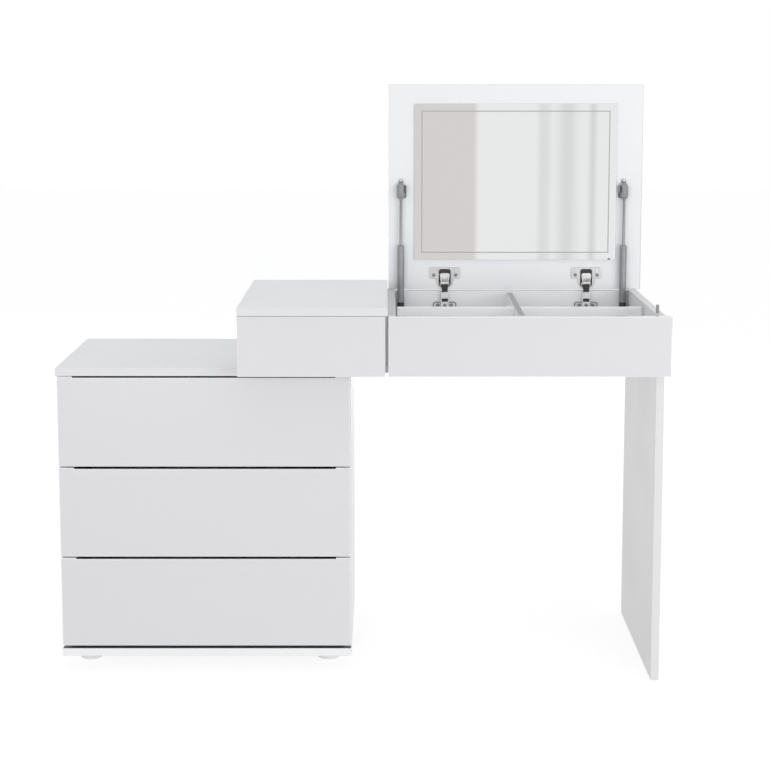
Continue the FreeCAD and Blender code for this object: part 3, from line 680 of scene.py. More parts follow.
def soften(piece: bpy.types.Object, width: float, edge_slot: int = -1) -> None:
    """Breaks a piece's sharp edges with a small round.

    Args:
        piece: The piece.
        width: Width of the round.
        edge_slot: Index of the round's own finish, or -1 for the neighbouring one.
    """
    weld = piece.modifiers.new("weld", "WELD")
    weld.merge_threshold = WELD_REACH
    flat = piece.modifiers.new("flat", "DECIMATE")
    flat.decimate_type = "DISSOLVE"
    flat.angle_limit = FLAT_ANGLE
    bevel = piece.modifiers.new("arris", "BEVEL")
    bevel.width = width
    bevel.segments = ARRIS_SEGMENTS
    bevel.limit_method = "ANGLE"
    bevel.angle_limit = ARRIS_ANGLE
    bevel.use_clamp_overlap = False
    bevel.material = edge_slot
    even = piece.modifiers.new("even", "WEIGHTED_NORMAL")
    even.mode = "FACE_AREA"
    even.weight = EVEN_WEIGHT
    even.keep_sharp = False


def coat_nodes(frame: dict, names: tuple[str, ...], finish: Finish, arris: float = 0.0,
               edge: Finish | None = None) -> None:
    """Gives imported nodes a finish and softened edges.

    Args:
        frame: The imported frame.
        names: The nodes.
        finish: Their finish.
        arris: Width of their softened edges, or 0.
        edge: The finish of those edges.
    """
    for name in names:
        node = frame["nodes"][name]
        node.data.materials.clear()
        node.data.materials.append(finish.material())
        if edge:
            node.data.materials.append(edge.material())
        if arris:
            soften(node, arris, SECOND_FINISH if edge else -1)
        LOG.info("%s: dressed", name)


class Assembly:
    """A group of pieces that is built and dressed together."""

    def build(self) -> None:
        """Makes the group's own pieces."""

    def dress(self, frame: dict) -> None:
        """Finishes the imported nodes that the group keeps, where it keeps any."""

    def fit(self, blank: Blank, name: str, body: str, slot: str, finishes: list[Finish],
            stands_for: tuple[str, ...] = (), arris: float = 0.0, edge_slot: int = -1) -> bpy.types.Object:
        """Makes a shaped blank a piece of the table.

        Args:
            blank: Its shape.
            name: Its name.
            body: The body that it rides on.
            slot: The record's slot of its finish; not used.
            finishes: Its finishes, in the order that the blank numbers them.
            stands_for: The nodes that it replaces.
            arris: Width of its softened edges.
            edge_slot: Index of those edges' own finish, or -1 for the neighbouring one.

        Returns:
            The piece.
        """
        piece = bpy.data.objects.new(name, blank.mesh(name))
        bpy.context.scene.collection.objects.link(piece)
        for finish in finishes:
            piece.data.materials.append(finish.material())
        if arris:
            soften(piece, arris, edge_slot)
        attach(piece, body)
        if stands_for:
            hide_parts(*stands_for)
        LOG.info("%s: built on %s", name, body)
        return piece


@dataclass
class Boards(Assembly):
    """The boards of the chest and of the desk unit.

    Attributes:
        arris: Round of an edge-taped board's edge.
        front_arris: Round of a front's edge.
        small_arris: Round of the small front's and the tops' edges.
        thin_arris: Round of a thin board's edge.
        nail_step: Distance between the chest back's nails.
        nail_radius: Radius of their heads.
        nail_rise: How far the heads stand proud.
        nail_sink: How far the heads reach into the board.
        nail_inset: Distance of the nails from the back's edge.
        nail_shoulder: Share of the radius and height at which the heads start to dome.
        nail_crown: Share of the radius at which the heads are flat again.
        nail_facets: Facets round a head.
    """

    arris: float = 0.0008
    front_arris: float = 0.0013
    small_arris: float = 0.0006
    thin_arris: float = 0.0004
    nail_step: float = 0.095
    nail_radius: float = 0.0034
    nail_rise: float = 0.0005
    nail_sink: float = 0.001
    nail_inset: float = 0.008
    nail_shoulder: Span = (0.8, 0.0003)
    nail_crown: float = 0.4
    nail_facets: int = 14

    def nail_spots(self, low: Vector, high: Vector) -> Loop:
        """The nails' places round the chest's back.

        Args:
            low: The back's lowest corner.
            high: The back's highest corner.

        Returns:
            The places across and up.
        """
        across = round((high.x - low.x) / self.nail_step)
        upward = round((high.z - low.z) / self.nail_step)
        left, right = low.x + self.nail_inset, high.x - self.nail_inset
        foot, head = low.z + self.nail_inset, high.z - self.nail_inset
        spots: Loop = []
        for step in range(across + 1):
            x = left + (right - left) * step / across
            spots += [(x, foot), (x, head)]
        for step in range(1, upward):
            z = foot + (head - foot) * step / upward
            spots += [(left, z), (right, z)]
        return spots

    def build(self) -> None:
        """Nails the chest's back to its frame."""
        low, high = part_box("chest_back")
        radius, rise = self.nail_radius, self.nail_rise
        share, height = self.nail_shoulder
        head = [(0.0, -self.nail_sink), (radius, -self.nail_sink), (radius, 0.0), (radius * share, height),
                (radius * self.nail_crown, rise), (0.0, rise)]
        blank = Blank()
        for x, z in self.nail_spots(low, high):
            blank.turned(head, (x, high.y, z), Axis.Y, self.nail_facets)
        self.fit(blank, "chest_back_nails", "carcass", "zinc_steel", [ZINC])

    def dress(self, frame: dict) -> None:
        """Finishes the boards.

        Args:
            frame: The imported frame.
        """
        fronts = ("desk_front_panel", "drawer_upper_front", "drawer_middle_front", "drawer_lower_front")
        plain = ("chest_left_side", "chest_right_side", "desk_left_side", "desk_inner_side", "desk_bottom",
                 "desk_back")
        plan = (
            (fronts, FRONT_LACQUER, self.front_arris, LIT_FRONT_ARRIS),
            (("small_drawer_front",), FRONT_LACQUER, self.small_arris, LIT_FRONT_ARRIS),
            (plain, BOARD_FACE, self.arris, LIT_BOARD_ARRIS),
            (("tray_rails",), LIT_RAIL_BOARD, self.arris, None),
            (("chest_top", "desk_left_top"), TOP_BOARD, self.small_arris, None),
            (("desk_partition",), TOP_SHADED_BOARD, self.thin_arris, None),
            (("desk_leg_panel",), SHADED_LEG_BOARD, self.thin_arris, None),
            (("tray_divider",), DIVIDER_BOARD, self.thin_arris, None),
            (("lid_panel",), LID_FACE, self.arris, SHADED_LID_ARRIS),
            (("chest_base",), BASE_BOARD, self.arris, LIT_BOARD_ARRIS),
            (("chest_back",), BACK_BOARD, self.thin_arris, None),
        )
        for names, finish, arris, edge in plan:
            coat_nodes(frame, names, finish, arris, edge)


@dataclass
class Drawers(Assembly):
    """The four drawer boxes and their runners.

    Attributes:
        arris: Round of a box board's edge.
        sheet: Thickness of the runners' steel.
        lip: Width of the runners' turned-in lips.
        rail_wide: Width of the fixed rails' section.
        rail_over: How far the fixed rails reach above and below the runners.
        rail_gap: Gap between a runner and its rail.
        screw_radius: Radius of the runner screws' heads.
        screw_crown: Share of that radius at which the heads are flat, and the height there.
        screw_rise: Height of the heads.
        screw_shares: Places of the screws along a runner.
        screw_facets: Facets round a head.
    """

    arris: float = 0.0006
    sheet: float = 0.0012
    lip: float = 0.0045
    rail_wide: float = 0.006
    rail_over: float = 0.005
    rail_gap: float = 0.0005
    screw_radius: float = 0.0036
    screw_crown: Span = (0.7, 0.0014)
    screw_rise: float = 0.0016
    screw_shares: Point = (0.08, 0.45, 0.85)
    screw_facets: int = 16

    def channel(self, u: Span, v: Span, open_right: bool) -> Loop:
        """The section of a runner: a web with two turned-in lips.

        Args:
            u: Its ends across.
            v: Its foot and head.
            open_right: Whether its open side is to the right.

        Returns:
            The section's outline.
        """
        t, lip = self.sheet, self.lip
        foot, head = v
        back, front = u if open_right else (u[1], u[0])
        way = 1.0 if open_right else -1.0
        inner = back + way * t
        tip = front - way * t
        return [(back, foot), (front, foot), (front, foot + lip), (tip, foot + lip), (tip, foot + t),
                (inner, foot + t), (inner, head - t), (tip, head - t), (tip, head - lip),
                (front, head - lip), (front, head), (back, head)]

    def build(self) -> None:
        """Makes the runners on the boxes and the rails on the carcass."""
        rails = Blank()
        share, height = self.screw_crown
        radius = self.screw_radius
        head = ((0.0, 0.0), (radius, 0.0), (radius * share, height), (0.0, self.screw_rise))
        for drawer in Drawer:
            node, body = drawer.value
            low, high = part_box(f"{node}_runners")
            box_low, box_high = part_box(f"{node}_sides")
            y, z = (low.y, high.y), (low.z, high.z)
            middle = (z[0] + z[1]) / 2
            sliders = Blank()
            sliders.plate([self.channel((low.x, box_low.x), z, False)], Plane.FACING, y)
            sliders.plate([self.channel((box_high.x, high.x), z, True)], Plane.FACING, y)
            seats = ((box_high.x + self.sheet, 1), (box_low.x - self.sheet, -1))
            for along in self.screw_shares:
                place = y[0] + (y[1] - y[0]) * along
                for seat, way in seats:
                    sliders.turned(pointed(head, way), (seat, place, middle), Axis.X, self.screw_facets)
            self.fit(sliders, f"{node}_slider_pair", body, "zinc_steel", [ZINC], (f"{node}_runners",),
                     METAL_ARRIS)
            rail_z = (z[0] - self.rail_over, z[1] + self.rail_over)
            left = (low.x - self.rail_gap - self.rail_wide, low.x - self.rail_gap)
            right = (high.x + self.rail_gap, high.x + self.rail_gap + self.rail_wide)
            rails.plate([self.channel(left, rail_z, True)], Plane.FACING, y)
            rails.plate([self.channel(right, rail_z, False)], Plane.FACING, y)
        self.fit(rails, "runner_rail_set", "carcass", "zinc_steel", [ZINC], ("runner_rails",), METAL_ARRIS)

    def dress(self, frame: dict) -> None:
        """Finishes the drawer boxes.

        Args:
            frame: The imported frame.
        """
        for drawer in Drawer:
            node, _ = drawer.value
            coat_nodes(frame, (f"{node}_sides", f"{node}_back"), BOX_BOARD, self.arris)
            coat_nodes(frame, (f"{node}_bottom",), BACK_BOARD)


@dataclass
class LidMirror(Assembly):
    """The bevelled mirror on the lid's inner face.

    Attributes:
        bevel: Width of the bevelled border.
        drop: How far the border falls back towards the edge.
        line: Width of the ground line inside the border.
    """

    bevel: float = 0.015
    drop: float = 0.0002
    line: float = 0.0024

    def build(self) -> None:
        """Shapes the glass: a flat middle, a ground line, four bevels, an edge and a back."""
        silver, ground, edge = range(3)
        low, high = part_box("mirror")
        blank = Blank()
        part = blank.work
        rects = []
        for inset, y in ((0.0, high.y), (0.0, low.y + self.drop), (self.bevel, low.y),
                         (self.bevel + self.line, low.y)):
            x = (low.x + inset, high.x - inset)
            z = (low.z + inset, high.z - inset)
            spots = ((x[0], z[0]), (x[1], z[0]), (x[1], z[1]), (x[0], z[1]))
            rects.append([part.verts.new((cx, y, cz)) for cx, cz in spots])
        for outer, inner, finish in zip(rects, rects[1:], (edge, silver, ground)):
            for step in range(4):
                after = (step + 1) % 4
                face = part.faces.new((outer[step], outer[after], inner[after], inner[step]))
                face.material_index = finish
        part.faces.new(rects[0]).material_index = edge
        part.faces.new(rects[-1]).material_index = silver
        bmesh.ops.recalc_face_normals(part, faces=part.faces)
        piece = self.fit(blank, "lid_mirror_glass", "lid", "mirror_glass",
                         [MIRROR_SILVER, GROUND_LINE, GLASS_EDGE], ("mirror",))
        piece.data.shade_flat()


@dataclass
class HingePair(Assembly):
    """Two concealed cup hinges between the desk's back and the lid.

    Attributes:
        centres: The hinges' places across the desk.
        face: The lid's inner face.
        axis_y: Place of the turning axis from front to back.
        axis_z: Height of the turning axis.
        cup_z: Height of the cups' middle.
        cup_radius: Radius of the cups.
        cup_depth: Depth of the cups.
        cup_wall: Thickness of the cups.
        cup_fillet: Outer and inner round at the cups' floor.
        cup_arris: Round of the flanges' edges, finished in dark steel as a painted shadow line.
        rim: Radius of the cups' flange.
        rim_steps: Points round that flange.
        flange: Thickness of the flange.
        wings: The flange's wings.
        wing_screw: Distance of the wings' screws from the middle, and their height.
        wing_hole: Radius of their holes.
        opening: The flange's opening.
        opening_shade: A dark plastic sheet over the head of the opening: painted shade inside the cup.
        opening_shade_set: How far its front and back stand off the lid's face.
        lug: A lug that holds the pin.
        lug_place: Distance of the lugs from the middle.
        bridge: The bridge between the lugs.
        tongue_z: Foot, shoulder and head of the link out of a cup.
        tongue_half: Half that link's width at its foot and at its shoulder.
        tongue_corner: Width of its rounded shoulder.
        tongue_y: Its front and back.
        tongue_window: Its window.
        tongue_cheek: Its side walls.
        arm: The upright part of an arm.
        bend: The part of an arm that reaches the axis.
        knuckle: Profile of the knuckle on the axis.
        web: The web of an arm's folded foot.
        web_window: The web's window.
        web_slot: The web's slot.
        web_cheek: The folded foot's side walls.
        web_end: The fold across the foot's head.
        recess_shade: A dark plastic block behind the web's window: painted shade in the recess.
        cap: The core of the dark cap.
        rib_count: Number of the cap's ribs.
        rib_half: Half the lowest rib's width, and how much it grows to the highest.
        rib_y: Front and back of the ribs.
        rib_gap: Half the gap between two ribs.
        rib_round: Round of the ribs' edges.
        plate: The mounting plate.
        plate_inner: Inside of the plate's turned-up rim.
        plate_block: The block that carries the arm.
        plate_screw: Distance of the plate's screws from the middle.
        plate_hole: Radius of their holes.
        screw_z: Height of the plate's screws.
        boss: Profile of the bosses round those screws.
        cup_facets: Facets round a cup.
        hole_facets: Facets round a screw hole.
        knuckle_facets: Facets round a knuckle.
        boss_facets: Facets round a boss.
    """

    centres: Span = (0.1805, 0.491)
    face: float = 0.209
    axis_y: float = 0.2155
    axis_z: float = 0.7505
    cup_z: float = 0.762
    cup_radius: float = 0.0174
    cup_depth: float = 0.0124
    cup_wall: float = 0.0012
    cup_fillet: Span = (0.001, 0.0008)
    cup_arris: float = 0.0004
    rim: float = 0.0195
    rim_steps: int = 28
    flange: float = 0.0012
    wings: Patch = Patch(0.034, (0.765, 0.790), 0.005)
    wing_screw: Span = (0.024, 0.773)
    wing_hole: float = 0.0021
    opening: Patch = Patch(0.0128, (0.7475, 0.7858), 0.005)
    opening_shade: Patch = Patch(0.0132, (0.7745, 0.7864), 0.003)
    opening_shade_set: Span = (0.0006, 0.0001)
    lug: Patch = Patch(0.0010, (0.7460, 0.7560), 0.0004, (0.2100, 0.2200))
    lug_place: float = 0.0096
    bridge: Patch = Patch(0.0078, (0.7555, 0.7690), 0.0004, (0.2181, 0.2200))
    tongue_z: Point = (0.7535, 0.7725, 0.7772)
    tongue_half: Span = (0.0080, 0.0108)
    tongue_corner: float = 0.0047
    tongue_y: Span = (0.2040, 0.2054)
    tongue_window: Patch = Patch(0.0074, (0.7582, 0.7658), 0.0012)
    tongue_cheek: Cheek = Cheek(0.0082, 0.0005, (0.2046, 0.2128), (0.7545, 0.7720), 0.0025, LEFT_ROUND)
    arm: Patch = Patch(0.0060, (0.7220, 0.7522), 0.0006, (0.2036, 0.2066))
    bend: Patch = Patch(0.0060, (0.7488, 0.7522), 0.0006, (0.2036, 0.2155))
    knuckle: Profile = ((0.0, -0.0060), (0.0022, -0.0060), (0.0027, -0.0054), (0.0027, 0.0054),
                        (0.0022, 0.0060), (0.0, 0.0060))
    web: Patch = Patch(0.0085, (0.6800, 0.7352), 0.0025, (0.1990, 0.2006))
    web_window: Patch = Patch(0.0068, (0.7146, 0.7218), 0.0012)
    web_slot: Patch = Patch(0.0024, (0.6850, 0.6960), 0.0023)
    web_cheek: Cheek = Cheek(0.0078, 0.0007, (0.2000, 0.2050), (0.6805, 0.7345), 0.0018)
    web_end: Patch = Patch(0.0074, (0.7332, 0.7346), 0.0003, (0.2000, 0.2050))
    recess_shade: Patch = Patch(0.0068, (0.7130, 0.7236), 0.0003, (0.2010, 0.2046))
    cap: Patch = Patch(0.0061, (0.7358, 0.7527), 0.0003, (0.2016, 0.2035))
    rib_count: int = 6
    rib_half: Span = (0.0063, 0.0009)
    rib_y: Span = (0.2010, 0.2035)
    rib_gap: float = 0.0001
    rib_round: float = 0.0005
    plate: Patch = Patch(0.026, (0.665, 0.714), 0.006, (0.2072, 0.2090))
    plate_inner: Patch = Patch(0.0238, (0.6672, 0.7118), 0.0042, (0.2050, 0.2074))
    plate_block: Patch = Patch(0.0092, (0.6690, 0.7112), 0.0005, (0.2050, 0.2074))
    plate_screw: float = 0.0145
    plate_hole: float = 0.0022
    screw_z: float = 0.707
    boss: Profile = ((0.0, 0.0), (0.0050, 0.0), (0.0053, 0.0018), (0.0053, 0.0024), (0.0, 0.0024))
    cup_facets: int = 40
    hole_facets: int = 16
    knuckle_facets: int = 20
    boss_facets: int = 24

    def flange_outline(self, x: float) -> Loop:
        """The outline of a cup's flange: two wings above a round rim.

        Args:
            x: Place of the hinge.

        Returns:
            The outline's points.
        """
        wings = self.wings.outline(x)
        reach = math.asin((self.wings.z[0] - self.cup_z) / self.rim)
        arc: Loop = []
        for step in range(self.rim_steps + 1):
            angle = math.pi - reach + (math.pi + 2.0 * reach) * step / self.rim_steps
            arc.append((x + self.rim * math.cos(angle), self.cup_z + self.rim * math.sin(angle)))
        corner = len(wings) // 4
        return wings[:corner] + arc + wings[corner:]

    def cups(self) -> None:
        """Makes the cups with their flanges, on the lid."""
        r, d, wall = self.cup_radius, self.cup_depth, self.cup_wall
        outer, inner = self.cup_fillet
        bowl = [(0.0, d), (r - outer, d), (r, d - outer), (r, 0.0), (r - wall, 0.0),
                (r - wall, d - wall - inner), (r - wall - inner, d - wall), (0.0, d - wall)]
        offset, height = self.wing_screw
        opening_shade_y = (self.face - self.opening_shade_set[0], self.face - self.opening_shade_set[1])
        blank = Blank()
        for x in self.centres:
            # The bowl is dark plastic: painted shade inside the cup behind the opening.
            blank.turned(bowl, (x, self.face, self.cup_z), Axis.Y, self.cup_facets, SECOND_FINISH)
            spots = [x + way * offset for way in BOTH_WAYS]
            holes = [ring(spot, height, self.wing_hole, self.hole_facets) for spot in spots]
            blank.plate([self.flange_outline(x), self.opening.outline(x), *holes], Plane.FACING,
                        (self.face - self.flange, self.face))
            # Dark sheet over the opening's head: painted shade in the cup.
            blank.plate([self.opening_shade.outline(x)], Plane.FACING, opening_shade_y, SECOND_FINISH)
            for way in BOTH_WAYS:
                blank.lump(self.lug, x + way * self.lug_place)
            blank.lump(self.bridge, x)
        # The rounded edges take the dark steel: painted shadow lines round the cup pieces.
        self.fit(blank, "hinge_cup_pair", "lid", "nickel", [NICKEL, BLACK_PLASTIC, DARK_STEEL_AND_SHADE],
                 ("hinge_cups",), self.cup_arris, THIRD_FINISH)

    def tongues(self) -> None:
        """Makes the links out of the cups, on the lid, open where the arms pass as it shuts."""
        foot, shoulder, head = self.tongue_z
        low, high = self.tongue_half
        blank = Blank()
        for x in self.centres:
            shape = [(x - low, foot), (x + low, foot), (x + high, shoulder)]
            for step in range(1, CORNER_STEPS + 1):
                angle = step / CORNER_STEPS * math.pi / 2
                shape.append((x + high - self.tongue_corner * (1.0 - math.cos(angle)),
                              shoulder + (head - shoulder) * math.sin(angle)))
            shape += [(2.0 * x - u, v) for u, v in reversed(shape[2:])]
            blank.plate([shape, self.tongue_window.outline(x)], Plane.FACING, self.tongue_y)
            blank.cheeks(self.tongue_cheek, x)
        self.fit(blank, "hinge_tongue_pair", "lid", "nickel", [LIT_LINK_NICKEL], (), METAL_ARRIS)

    def arms(self) -> None:
        """Makes the arms, on the carcass."""
        blank = Blank()
        for x in self.centres:
            blank.lump(self.arm, x)
            blank.lump(self.bend, x)
            blank.turned(self.knuckle, (x, self.axis_y, self.axis_z), Axis.X, self.knuckle_facets)
            outlines = [patch.outline(x) for patch in (self.web, self.web_window, self.web_slot)]
            blank.plate(outlines, Plane.FACING, self.web.y)
            blank.cheeks(self.web_cheek, x)
            blank.lump(self.web_end, x)
            # Dark block behind the window: painted shade in the arm's recess.
            blank.lump(self.recess_shade, x, SECOND_FINISH)
        self.fit(blank, "hinge_arm_pair", "carcass", "nickel", [LIT_LINK_NICKEL, BLACK_PLASTIC],
                 ("hinge_arms",), METAL_ARRIS)

    def caps(self) -> None:
        """Makes the dark caps over the arms' heads, ribbed across, on the carcass."""
        low, high = self.cap.z
        count, gap = self.rib_count, self.rib_gap
        least, growth = self.rib_half
        blank = Blank()
        for x in self.centres:
            for rib in range(count):
                foot = low + (high - low) * rib / count
                head = low + (high - low) * (rib + 1) / count
                half = least + growth * (rib + 0.5) / count
                blank.block((x - half, x + half), self.rib_y, (foot + gap, head - gap), self.rib_round)
            blank.lump(self.cap, x)
        self.fit(blank, "hinge_cap_pair", "carcass", "black_plastic", [BLACK_PLASTIC], ("hinge_covers",))

    def plates(self) -> None:
        """Makes the mounting plates with their turned-up rims in dark steel as painted shade, on the carcass.
        """
        blank = Blank()
        for x in self.centres:
            outer = self.plate.outline(x)
            spots = [x + way * self.plate_screw for way in BOTH_WAYS]
            holes = [ring(spot, self.screw_z, self.plate_hole, self.hole_facets) for spot in spots]
            blank.plate([outer, *holes], Plane.FACING, self.plate.y)
            rim = [outer, self.plate_inner.outline(x)]
            # The rim takes the dark steel: painted shade along the plate's border.
            blank.plate(rim, Plane.FACING, self.plate_inner.y, SECOND_FINISH)
            blank.lump(self.plate_block, x)
            for spot in spots:
                seat = (spot, self.plate_inner.y[0], self.screw_z)
                blank.turned(self.boss, seat, Axis.Y, self.boss_facets)
        self.fit(blank, "hinge_plate_pair", "carcass", "nickel", [NICKEL, DARK_STEEL_AND_SHADE],
                 ("hinge_plates",), METAL_ARRIS)

    def build(self) -> None:
        """Makes every part of the hinges."""
        self.cups()
        self.tongues()
        self.arms()
        self.caps()
        self.plates()

    def dress(self, frame: dict) -> None:
        """Finishes the pins."""
        coat_nodes(frame, ("hinge_pins",), NICKEL, METAL_ARRIS)


@dataclass
class GasStruts(Assembly):
    """The two gas struts that hold the lid, with their brackets.

    Attributes:
        y: Place of the struts from front to back.
        face: The lid's inner face.
        foot_z: Height of the lower ball.
        head_z: Height of the upper ball.
        ball: Profile of the lower ball's housing, across.
        neck: Profile of the socket's neck up to its sleeve.
        sleeve: Radius of the sleeve, and its chamfer's width and height.
        grip: Profile of one rib of the sleeve.
        grip_foot: Foot of the lowest rib, and the distance between ribs.
        grip_count: Number of ribs.
        socket_arris: Round of the socket's edges.
        tube_foot: Foot of the cylinders.
        tube_head: Head of the cylinders.
        tube_radius: Radius of the cylinders.
        tube_chamfer: Chamfer at the cylinders' foot.
        tube_crimp: Insets and heights of the crimp and the rounded head, from the cylinders' head.
        seal: Profile of the seal round the rods, from the cylinders' head.
        rod_radius: Radius of the rods.
        rod_foot: Foot of the rods, inside the cylinders.
        rod_head: Head of the rods.
        rod_chamfer: Chamfer at the rods' foot.
        rod_groove: Insets and heights of the groove near the rods' head.
        fitting: Profile of the upper fitting, from the upper ball.
        clip: Half the retaining clip's depth, and its reach below and above the ball.
        clip_round: Round of the clip's corners.
        clip_place: Distance of the clip from the strut's middle across and along.
        clip_half: Half the clip's thickness.
        clip_arris: Round of the clip's edges.
        low_plate: Half the lower plates' depth and height, and their corners' radius.
        plate: Thickness of the brackets' plates.
        hole: Radius of the brackets' screw holes.
        low_screw: Distance of the lower screws from the ball.
        low_stud: Profile of the lower studs' foot.
        low_stud_over: How far the lower studs pass the strut's middle.
        low_stud_tip: Tip radius and chamfer of the lower studs.
        pad_x: Reach of the upper plates' wide part towards the wall and away from it.
        pad_z: Reach of that part below and above the ball.
        pad_round: Round of its corners.
        tail: Half width of the upper plates' narrow part and its corners' radius.
        tail_z: Reach of that part above the ball.
        lid_screws: Heights of the lid brackets' screws from the ball.
        tab_y: Reach of the tabs in front of the ball, and their overlap with the plates.
        tab_half: Half the tabs' height, and their corners' radius.
        tab_x: Distances of the tabs' two faces from the strut's middle.
        lid_stud: Profile of the upper studs.
        socket_facets: Facets round a socket.
        tube_facets: Facets round a cylinder.
        rod_facets: Facets round a rod.
        fitting_facets: Facets round an upper fitting.
        hole_facets: Facets round a screw hole.
        low_stud_facets: Facets round a lower stud.
        lid_stud_facets: Facets round an upper stud.
    """

    y: float = 0.197
    face: float = 0.209
    foot_z: float = 0.672
    head_z: float = 0.962
    ball: Profile = ((0.0, -0.0065), (0.0062, -0.0065), (0.0078, -0.0050), (0.0080, -0.0030),
                     (0.0080, 0.0030), (0.0078, 0.0050), (0.0062, 0.0065), (0.0, 0.0065))
    neck: Profile = ((0.0, 0.6760), (0.0058, 0.6760), (0.0064, 0.6880), (0.0074, 0.6920), (0.0075, 0.6930))
    sleeve: Point = (0.0075, 0.0070, 0.0010)
    grip: Profile = ((0.0070, 0.0), (0.0078, 0.0005), (0.0078, 0.0017), (0.0070, 0.0022))
    grip_foot: Span = (0.6955, 0.0042)
    grip_count: int = 4
    socket_arris: float = 0.0002
    tube_foot: float = 0.714
    tube_head: float = 0.840
    tube_radius: float = 0.0075
    tube_chamfer: float = 0.0008
    tube_crimp: Profile = ((0.0, -0.0130), (0.0007, -0.0122), (0.0007, -0.0108), (0.0, -0.0100),
                           (0.0, -0.0022), (0.0007, -0.0008), (0.0022, 0.0))
    seal: Profile = ((0.0040, 0.0), (0.0038, -0.0012), (0.0033, -0.0014), (0.0033, -0.0060), (0.0, -0.0060))
    rod_radius: float = 0.003
    rod_foot: float = 0.804
    rod_head: float = 0.9400
    rod_chamfer: float = 0.0005
    rod_groove: Profile = ((0.0, 0.9300), (0.0004, 0.9308), (0.0004, 0.9330), (0.0, 0.9338))
    fitting: Profile = ((0.0, -0.0240), (0.0038, -0.0240), (0.0040, -0.0205), (0.0062, -0.0196),
                        (0.0078, -0.0175), (0.0086, -0.0130), (0.0088, -0.0070), (0.0088, 0.0),
                        (0.0085, 0.0045), (0.0074, 0.0085), (0.0056, 0.0115), (0.0042, 0.0130),
                        (0.0026, 0.0139), (0.0, 0.0140))
    clip: Point = (0.0042, 0.0080, 0.0062)
    clip_round: float = 0.0030
    clip_place: Span = (0.0063, 0.0022)
    clip_half: float = 0.0030
    clip_arris: float = 0.0006
    low_plate: Point = (0.010, 0.015, 0.004)
    plate: float = 0.002
    hole: float = 0.0019
    low_screw: float = 0.0115
    low_stud: Profile = ((0.0, 0.0), (0.0056, 0.0), (0.0050, 0.0012), (0.0030, 0.0022))
    low_stud_over: float = 0.0055
    low_stud_tip: Span = (0.0024, 0.0006)
    pad_x: Span = (0.009, 0.012)
    pad_z: Span = (0.020, 0.008)
    pad_round: float = 0.003
    tail: Span = (0.005, 0.0045)
    tail_z: Span = (0.0075, 0.022)
    lid_screws: Span = (-0.014, 0.018)
    tab_y: Span = (0.008, 0.001)
    tab_half: Span = (0.008, 0.0055)
    tab_x: Span = (0.010, 0.012)
    lid_stud: Profile = ((0.0, 0.0), (0.0042, 0.0), (0.0036, 0.0010), (0.0025, 0.0016), (0.0025, 0.0036),
                         (0.0, 0.0036))
    socket_facets: int = 28
    tube_facets: int = 36
    rod_facets: int = 24
    fitting_facets: int = 32
    hole_facets: int = 14
    low_stud_facets: int = 22
    lid_stud_facets: int = 20

    def socket(self, side: Side) -> None:
        """Makes one strut's lower ball socket with its ribbed sleeve.

        Args:
            side: Which strut.
        """
        name, x, _, _ = side.value
        base = (x, self.y, 0.0)
        foot = self.tube_foot
        radius, tip, chamfer = self.sleeve
        blank = Blank()
        facets = self.socket_facets
        blank.turned(self.ball, (x, self.y, self.foot_z), Axis.X, facets)
        sleeve = [*self.neck, (radius, foot - chamfer), (tip, foot), (0.0, foot)]
        blank.turned(sleeve, base, Axis.Z, facets)
        start, step = self.grip_foot
        for rib in range(self.grip_count):
            blank.turned(raised(self.grip, start + rib * step), base, Axis.Z, facets)
        self.fit(blank, f"strut_{name}_ball_socket", f"{name}_strut", "black_plastic", [BLACK_PLASTIC],
                 (f"strut_{name}_socket",), self.socket_arris)

    def tube_profile(self) -> Loop:
        """The profile of a cylinder, with its crimp and its seal.

        Returns:
            The radius and height of each point.
        """
        r, foot, head, cut = self.tube_radius, self.tube_foot, self.tube_head, self.tube_chamfer
        wall = [(r - inset, height + head) for inset, height in self.tube_crimp]
        return [(0.0, foot), (r - cut, foot), (r, foot + cut), *wall, *raised(self.seal, head)]

    def rod_profile(self) -> Loop:
        """The profile of a rod, with the groove near its head.

        Returns:
            The radius and height of each point.
        """
        r, foot, head, cut = self.rod_radius, self.rod_foot, self.rod_head, self.rod_chamfer
        groove = [(r - inset, height) for inset, height in self.rod_groove]
        return [(0.0, foot), (r - cut, foot), (r, foot + cut), *groove, (r, head), (0.0, head)]

    def shafts(self, side: Side) -> None:
        """Makes one strut's cylinder, rod and upper fitting.

        Args:
            side: Which strut.
        """
        name, x, _, _ = side.value
        bulb = raised(self.fitting, self.head_z)
        plan = (
            ("tube", "strut", "strut_paint", TUBE_PAINT, "cylinder", self.tube_profile(), self.tube_facets),
            ("piston_rod", "rod", "bright_rod", ROD_STEEL, "rod", self.rod_profile(), self.rod_facets),
            ("rod_fitting", "rod", "grey_plastic", FITTING_GREY, "rod_end", bulb, self.fitting_facets),
        )
        for piece, body, slot, finish, node, profile, facets in plan:
            blank = Blank()
            blank.turned(profile, (x, self.y, 0.0), Axis.Z, facets)
            self.fit(blank, f"strut_{name}_{piece}", f"{name}_{body}", slot, [finish],
                     (f"strut_{name}_{node}",))

    def retaining_clip(self, side: Side) -> None:
        """Makes the dark clip on one strut's upper fitting.

        Args:
            side: Which strut.
        """
        name, x, out, _ = side.value
        half, below, above = self.clip
        across, along = self.clip_place
        near = self.y - out * along
        inner = x - out * across
        reach = (self.head_z - below, self.head_z + above)
        outline = rounded((near - half, near + half), reach, self.clip_round)
        blank = Blank()
        blank.plate([outline], Plane.SIDE, (inner - self.clip_half, inner + self.clip_half))
        self.fit(blank, f"strut_{name}_clip", f"{name}_rod", "black_plastic", [BLACK_PLASTIC], (),
                 self.clip_arris)

